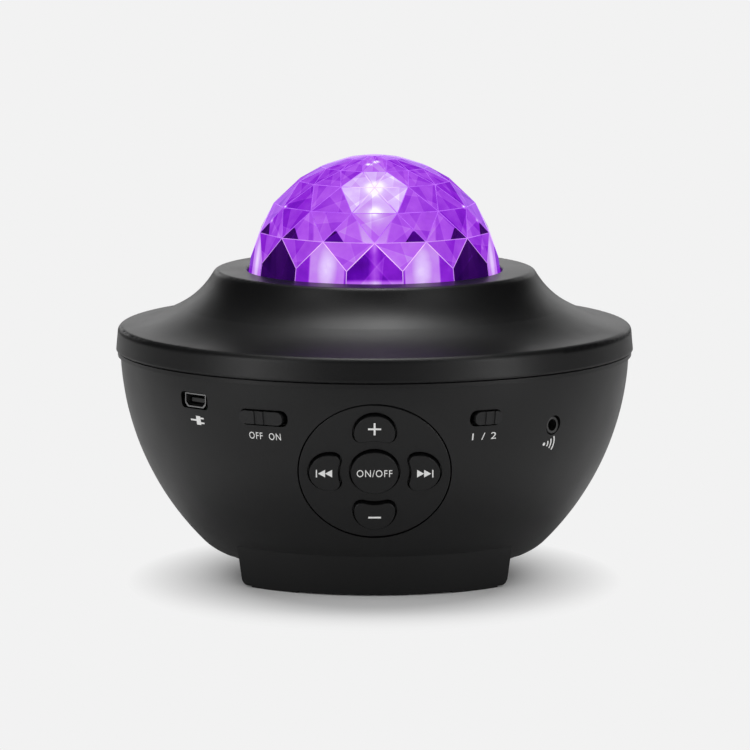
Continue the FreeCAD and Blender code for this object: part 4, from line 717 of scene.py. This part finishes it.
def mark_facets(shape, centre):
    """Gives each facet its tone of painted light, its kind of painted pattern and a place of its own across and
    up.
    """
    tone = shape.loops.layers.float.new("tone")
    kind = shape.faces.layers.float.new("kind")
    cut = shape.faces.layers.float.new("cut")
    place = shape.loops.layers.uv.new("facet")
    draw = random.Random(tone_seed)
    lamps = lamp_spots(centre)
    belt_top = centre + rise_at(dome_latitudes[0])
    middles = {face: face.calc_center_median() for face in shape.faces}
    for face in sorted(shape.faces, key=lambda one: (round(middles[one].z, row_digits),
                                                     azimuth_of(middles[one]))):
        turn, along, half, low, high = facet_place(face)
        near = lamp_nearness(turn)
        outward = 1 if turn > 0 else -1
        base = plain_tone + lamp_gain * near + draw.uniform(-tone_play, tone_play)
        face[kind], face[cut] = plain_kind, draw.random()
        feet = sum(loop.vert.co.z < low + mm for loop in face.loops)
        if len(face.verts) == belt_corners:
            # Belt facets are painted dark and pale by turns
            dark = round(turn * dome_facets / 360) % 2 == 0
            face[kind] = painted_dark_belt_kind if dark else window_kind
            base = painted_dark_belt_tone + painted_dark_belt_gain * near if dark else window_tone
        elif abs(face.normal.z) > top_normal:
            base = top_tone
        elif abs(low - belt_top) < mm and feet == 2:
            face[kind] = corner_kind
        # Facets that meet over a lamp are painted bright
        away = min((middles[face] - lamp).length for lamp in lamps)
        hot = away < hot_reach and len(face.verts) == upper_corners
        for loop in face.loops:
            loop[tone] = hot_tone + draw.uniform(-hot_play, hot_play) if hot else base
            loop[place].uv = (outward * loop.vert.co.dot(along) / half,
                              (loop.vert.co.z - low) / max(high - low, mm))


def bore_outline(foot, low, centre):
    """Radius and height from the facets' foot round the flange and up the bore to its middle."""
    outline = [(flange_radius, foot), (flange_radius, low), (dome_bore, low)]
    for row in range(bore_rows):
        turn = math.pi / 2 * row / bore_rows
        outline.append((dome_bore * math.cos(turn), centre + dome_bore * math.sin(turn)))
    return outline + [(0, centre + dome_bore)]


def crystal_dome():
    """The thick faceted dome: facets outside, a smooth bore inside and a round flange."""
    low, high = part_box("crystal_dome")
    centre = high.z - rise_at(dome_latitudes[-1])
    facets = crystal_facets("facets_painted_light", glow_spots(centre))
    values = {"Facets": dome_facets, "Radius": dome_radius, "Rise": dome_rise, "Centre": centre,
              "Foot": low.z + flange_height - centre, "Lean": belt_tilt,
              "Shoulder": rise_at(shoulder_latitude), "Material": facets.material}
    for number, latitude in enumerate(dome_latitudes, 1):
        values["Latitude %d" % number] = latitude
    mesh = baked(facet_tree(len(dome_latitudes)), values)
    shape = bmesh.new()
    shape.from_mesh(mesh)
    bmesh.ops.dissolve_limit(shape, angle_limit=math.radians(flat_angle), verts=shape.verts,
                             edges=shape.edges)
    base = [face for face in shape.faces if face.normal.z < base_normal]
    bmesh.ops.delete(shape, geom=base, context="FACES_ONLY")
    for face in shape.faces:
        face.material_index = facet_zone
    mark_facets(shape, centre)
    inner_edges = [edge for edge in shape.edges if not edge.is_boundary]
    bmesh.ops.bevel(shape, geom=inner_edges, offset=facet_edge, segments=1, affect="EDGES",
                    profile=0.5, material=edge_zone)
    rim = [edge for edge in shape.edges if edge.is_boundary]
    foot = min(vertex.co.z for vertex in shape.verts)
    rings = lathe(shape, bore_outline(foot, low.z, centre), bore_segments, inside_zone)
    first = set(rings[0])
    circle = [edge for edge in shape.edges if edge.verts[0] in first and edge.verts[1] in first]
    bmesh.ops.triangle_fill(shape, edges=rim + circle, use_beauty=True)
    bmesh.ops.recalc_face_normals(shape, faces=shape.faces)
    shape.to_mesh(mesh)
    zones = [face.material_index for face in shape.faces]
    shape.free()
    mesh.materials.clear()
    belt_top = centre + rise_at(dome_latitudes[0])
    for finish in (facets, crystal_edges("facet_edges_painted_light", belt_top, lamp_spots(centre)),
                   crystal_inside("dome_inside_painted_light")):
        mesh.materials.append(finish.material)
    mesh.polygons.foreach_set("material_index", zones)
    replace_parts(piece_from(mesh, "faceted_dome", "body"), "crystal_dome")


# Printed signs


def text_mesh(name, words, width, height):
    """Printed letters, stretched to a width and a height."""
    data = bpy.data.curves.new(name, "FONT")
    data.body = words
    data.size = height
    data.space_character = letter_space
    data.extrude = print_depth / 2
    mesh = mesh_of(placed(name, data))
    for axis, size in ((0, width), (1, height)):
        reaches = [vertex.co[axis] for vertex in mesh.vertices]
        low, high = min(reaches), max(reaches)
        for vertex in mesh.vertices:
            vertex.co[axis] = (vertex.co[axis] - (low + high) / 2) / (high - low) * size
    return mesh


def outline_mesh(name, outlines):
    """Flat outlines made thin closed solids in the XY plane."""
    mesh = bpy.data.meshes.new(name)
    shape = bmesh.new()
    for points in outlines:
        lower, upper = [[shape.verts.new((across, up, height)) for across, up in points]
                        for height in (-print_depth / 2, print_depth / 2)]
        shape.faces.new(lower)
        shape.faces.new(upper)
        for here in range(len(points)):
            shape.faces.new((lower[here - 1], lower[here], upper[here], upper[here - 1]))
    bmesh.ops.recalc_face_normals(shape, faces=shape.faces)
    shape.to_mesh(mesh)
    shape.free()
    return mesh


def bar(left, right, low, high):
    return [(left, low), (right, low), (right, high), (left, high)]


def disc(x, y, radius, sides=24):
    return [(x + radius * math.cos(math.tau * step / sides),
             y + radius * math.sin(math.tau * step / sides)) for step in range(sides)]


def plus_sign():
    across, up, half = 1.95 * mm, 2.05 * mm, stroke / 2
    corner = [(half, half), (half, up), (-half, up), (-half, half), (-across, half),
              (-across, -half), (-half, -half), (-half, -up), (half, -up), (half, -half),
              (across, -half), (across, half)]
    return [corner]


def minus_sign():
    across = 1.9 * mm
    return [bar(-across, across, -stroke / 2, stroke / 2)]


def skip_sign(way):
    """Two arrowheads and a bar, pointing to the right for way 1 and to the left for -1."""
    rise, long, first, bar_near, bar_far = [size * mm for size in (1.3, 2.1, -2.55, 1.95, 2.3)]
    shapes = []
    for start in (first, first + long):
        shapes.append([(way * start, -rise), (way * (start + long), 0), (way * start, rise)])
    left, right = sorted((way * bar_near, way * bar_far))
    shapes.append(bar(left, right, -rise, rise))
    return shapes


def plug_sign():
    """A plug seen from the side: two pins, a body and a cord."""
    cord_end, body_start, body_end, pin_end = [size * mm for size in (-2.9, -0.5, 1.3, 2.7)]
    cord_half, body_half, pin_near, pin_far = [size * mm for size in (0.25, 1.35, 0.5, 0.95)]
    return [bar(body_start, body_end, -body_half, body_half),
            bar(body_end, pin_end, pin_near, pin_far),
            bar(body_end, pin_end, -pin_far, -pin_near),
            bar(cord_end, body_start, -cord_half, cord_half)]


def sound_sign():
    """Sound waves from a point: three arcs."""
    source, dot, half_line = -2.6 * mm, 0.5 * mm, 0.22 * mm
    spread, steps = math.radians(30), 8
    turns = [spread * (2 * step / steps - 1) for step in range(steps + 1)]
    shapes = [disc(source, 0, dot)]
    for radius in (1.6 * mm, 2.9 * mm, 4.2 * mm):
        shapes.append([(source + edge * math.cos(turn), edge * math.sin(turn))
                       for edge, order in ((radius + half_line, turns),
                                           (radius - half_line, reversed(turns)))
                       for turn in order])
    return shapes


def surface_of(name):
    """Something to cast rays at: the surface of a node of the frame."""
    shape = bmesh.new()
    shape.from_mesh(cad_nodes[name].data)
    tree = BVHTree.FromBMesh(shape)
    shape.free()
    return tree


def wrapped(mesh, spot, side, rise, surface):
    """Lays a flat mesh on a surface, looking inwards at a spot."""
    out = side.cross(rise)
    for vertex in mesh.vertices:
        start = spot + side * vertex.co.x + rise * vertex.co.y + out * cast_start
        hit, normal, _, _ = surface.ray_cast(start, -out)
        if normal.dot(out) < 0:
            normal = -normal
        vertex.co = hit + normal * (print_lift + vertex.co.z)
    return mesh


def panel_directions():
    """Sideways along the panel, and up its slope."""
    inward = Vector(next(joint for joint in frame["joints"]
                         if joint["name"] == "center_press")["axis"])
    side = Vector((1, 0, 0))
    return side, (-inward).cross(side).normalized()


def middle_of(node):
    low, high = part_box(node)
    return (low + high) / 2


def print_signs(finishes):
    """Signs on the five buttons and beside the ports and switches."""
    ink = finishes["print"].material
    side, rise = panel_directions()
    middle = middle_of("plunger_center")
    signs = {
        "plus": outline_mesh("plus_sign", plus_sign()),
        "minus": outline_mesh("minus_sign", minus_sign()),
        "previous": outline_mesh("previous_sign", skip_sign(-1)),
        "next": outline_mesh("next_sign", skip_sign(1)),
        "center": text_mesh("center_words", "ON/OFF", *button_words_size),
    }
    for name, mesh in signs.items():
        spot = middle_of("plunger_" + name)
        outward = spot - middle
        if outward.length > mm:
            spot = spot + outward.normalized() * sign_shift
        wrapped(mesh, spot, side, rise, surface_of("button_" + name))
        piece_from(mesh, "print_" + name, name + "_button", ink)
    wall = surface_of("bowl_housing")
    up = Vector((0, 0, 1))
    labels = (
        ("print_power", text_mesh("power_words", "OFF  ON", *power_words_size), power_words_place),
        ("print_mode", text_mesh("mode_words", "1 / 2", *mode_words_size), mode_words_place),
        ("print_usb", outline_mesh("plug_sign", plug_sign()), usb_sign_place),
        ("print_jack", outline_mesh("sound_sign", sound_sign()), jack_sign_place))
    for name, mesh, (azimuth, height) in labels:
        turn = math.radians(azimuth)
        out = Vector((math.sin(turn), -math.cos(turn), 0))
        across = Vector((math.cos(turn), math.sin(turn), 0))
        wrapped(mesh, out * wall_reach + up * height, across, up, wall)
        piece_from(mesh, name, "body", ink)


# Stage


def make_floor():
    """A pale floor: plain away from the object, and truly shaded round its foot."""
    bpy.ops.mesh.primitive_plane_add(size=floor_side)
    floor = bpy.context.object
    floor.name = "floor"
    finish = Finish("pale_floor", (floor_white,) * 3, floor_roughness, Specular_IOR_Level=0.0)
    distance = finish.add("ShaderNodeVectorMath", {0: finish.point(shade_shape, shade_shift)},
                          operation="LENGTH").outputs["Value"]
    rays = finish.add("ShaderNodeLightPath").outputs
    seen = finish.maths("MAXIMUM", rays["Is Camera Ray"], rays["Is Transmission Ray"])
    plain = finish.times(seen, finish.between(distance, 0.0, 1.0, shade_start, shade_end))
    pale = finish.add("ShaderNodeEmission", {"Color": (*background_grey, 1), "Strength": 1.0})
    mixed = finish.add("ShaderNodeMixShader", {0: plain, 1: finish.shader.outputs[0],
                                               2: pale.outputs[0]})
    dim = finish.times(rays["Is Glossy Ray"], 1.0 - floor_in_gloss)
    unlit = finish.add("ShaderNodeEmission", {"Color": (0, 0, 0, 1), "Strength": 0.0})
    dimmed = finish.add("ShaderNodeMixShader", {0: dim, 1: mixed.outputs[0], 2: unlit.outputs[0]})
    output = finish.tree.nodes["Material Output"]
    finish.tree.links.new(dimmed.outputs[0], output.inputs["Surface"])
    floor.data.materials.append(finish.material)


def make_world():
    """Even light on rough surfaces, a pale background, and dark walls in reflections."""
    world = bpy.data.worlds.new("studio")
    bpy.context.scene.world = world
    world.use_nodes = True
    tree = world.node_tree
    background = tree.nodes["Background"]
    path = tree.nodes.new("ShaderNodeLightPath")
    colour = (dark_wall, dark_wall, dark_wall, 1)
    for ray, shade in (("Is Diffuse Ray", (ambient,) * 3), ("Is Transmission Ray", background_grey),
                       ("Is Camera Ray", background_grey)):
        mix = add_node(tree, "ShaderNodeMix", {"Factor": path.outputs[ray]}, data_type="RGBA")
        first, second = [socket for socket in mix.inputs if socket.type == "RGBA"]
        feed(tree, first, colour)
        feed(tree, second, (*shade, 1))
        colour = next(socket for socket in mix.outputs if socket.type == "RGBA")
    tree.links.new(colour, background.inputs["Color"])
    background.inputs["Strength"].default_value = 1.0


def softbox(name, spot, aim, size, power):
    data = bpy.data.lights.new(name, "AREA")
    data.shape = "RECTANGLE"
    data.size, data.size_y = size
    data.energy = power
    lamp = placed(name, data)
    lamp.location = spot
    lamp.rotation_euler = (Vector(aim) - Vector(spot)).to_track_quat("-Z", "Y").to_euler()


def make_lamps():
    """The softboxes, each facing a point on the axis."""
    for name, azimuth, elevation, distance, size, power in softboxes:
        turn, rise = math.radians(azimuth), math.radians(elevation)
        spot = Vector((distance * math.cos(rise) * math.sin(turn),
                       -distance * math.cos(rise) * math.cos(turn),
                       lamp_aim + distance * math.sin(rise)))
        softbox(name, spot, (0, 0, lamp_aim), size, power)


def make_camera():
    data = bpy.data.cameras.new("camera")
    data.sensor_width = sensor_width
    data.lens = lens_px * sensor_width / photo_side_px
    data.shift_x = (photo_side_px / 2 - axis_px) / photo_side_px
    data.clip_start, data.clip_end = camera_clip
    camera = placed("camera", data)
    camera.location = (0, -camera_distance, camera_height)
    camera.rotation_euler = (math.radians(90 - camera_drop), 0, 0)
    bpy.context.scene.camera = camera


finishes = make_finishes()
dress_nodes(finishes)
crystal_dome()
print_signs(finishes)
make_floor()
make_world()
make_lamps()
make_camera()
bpy.context.scene.view_settings.view_transform = "Standard"
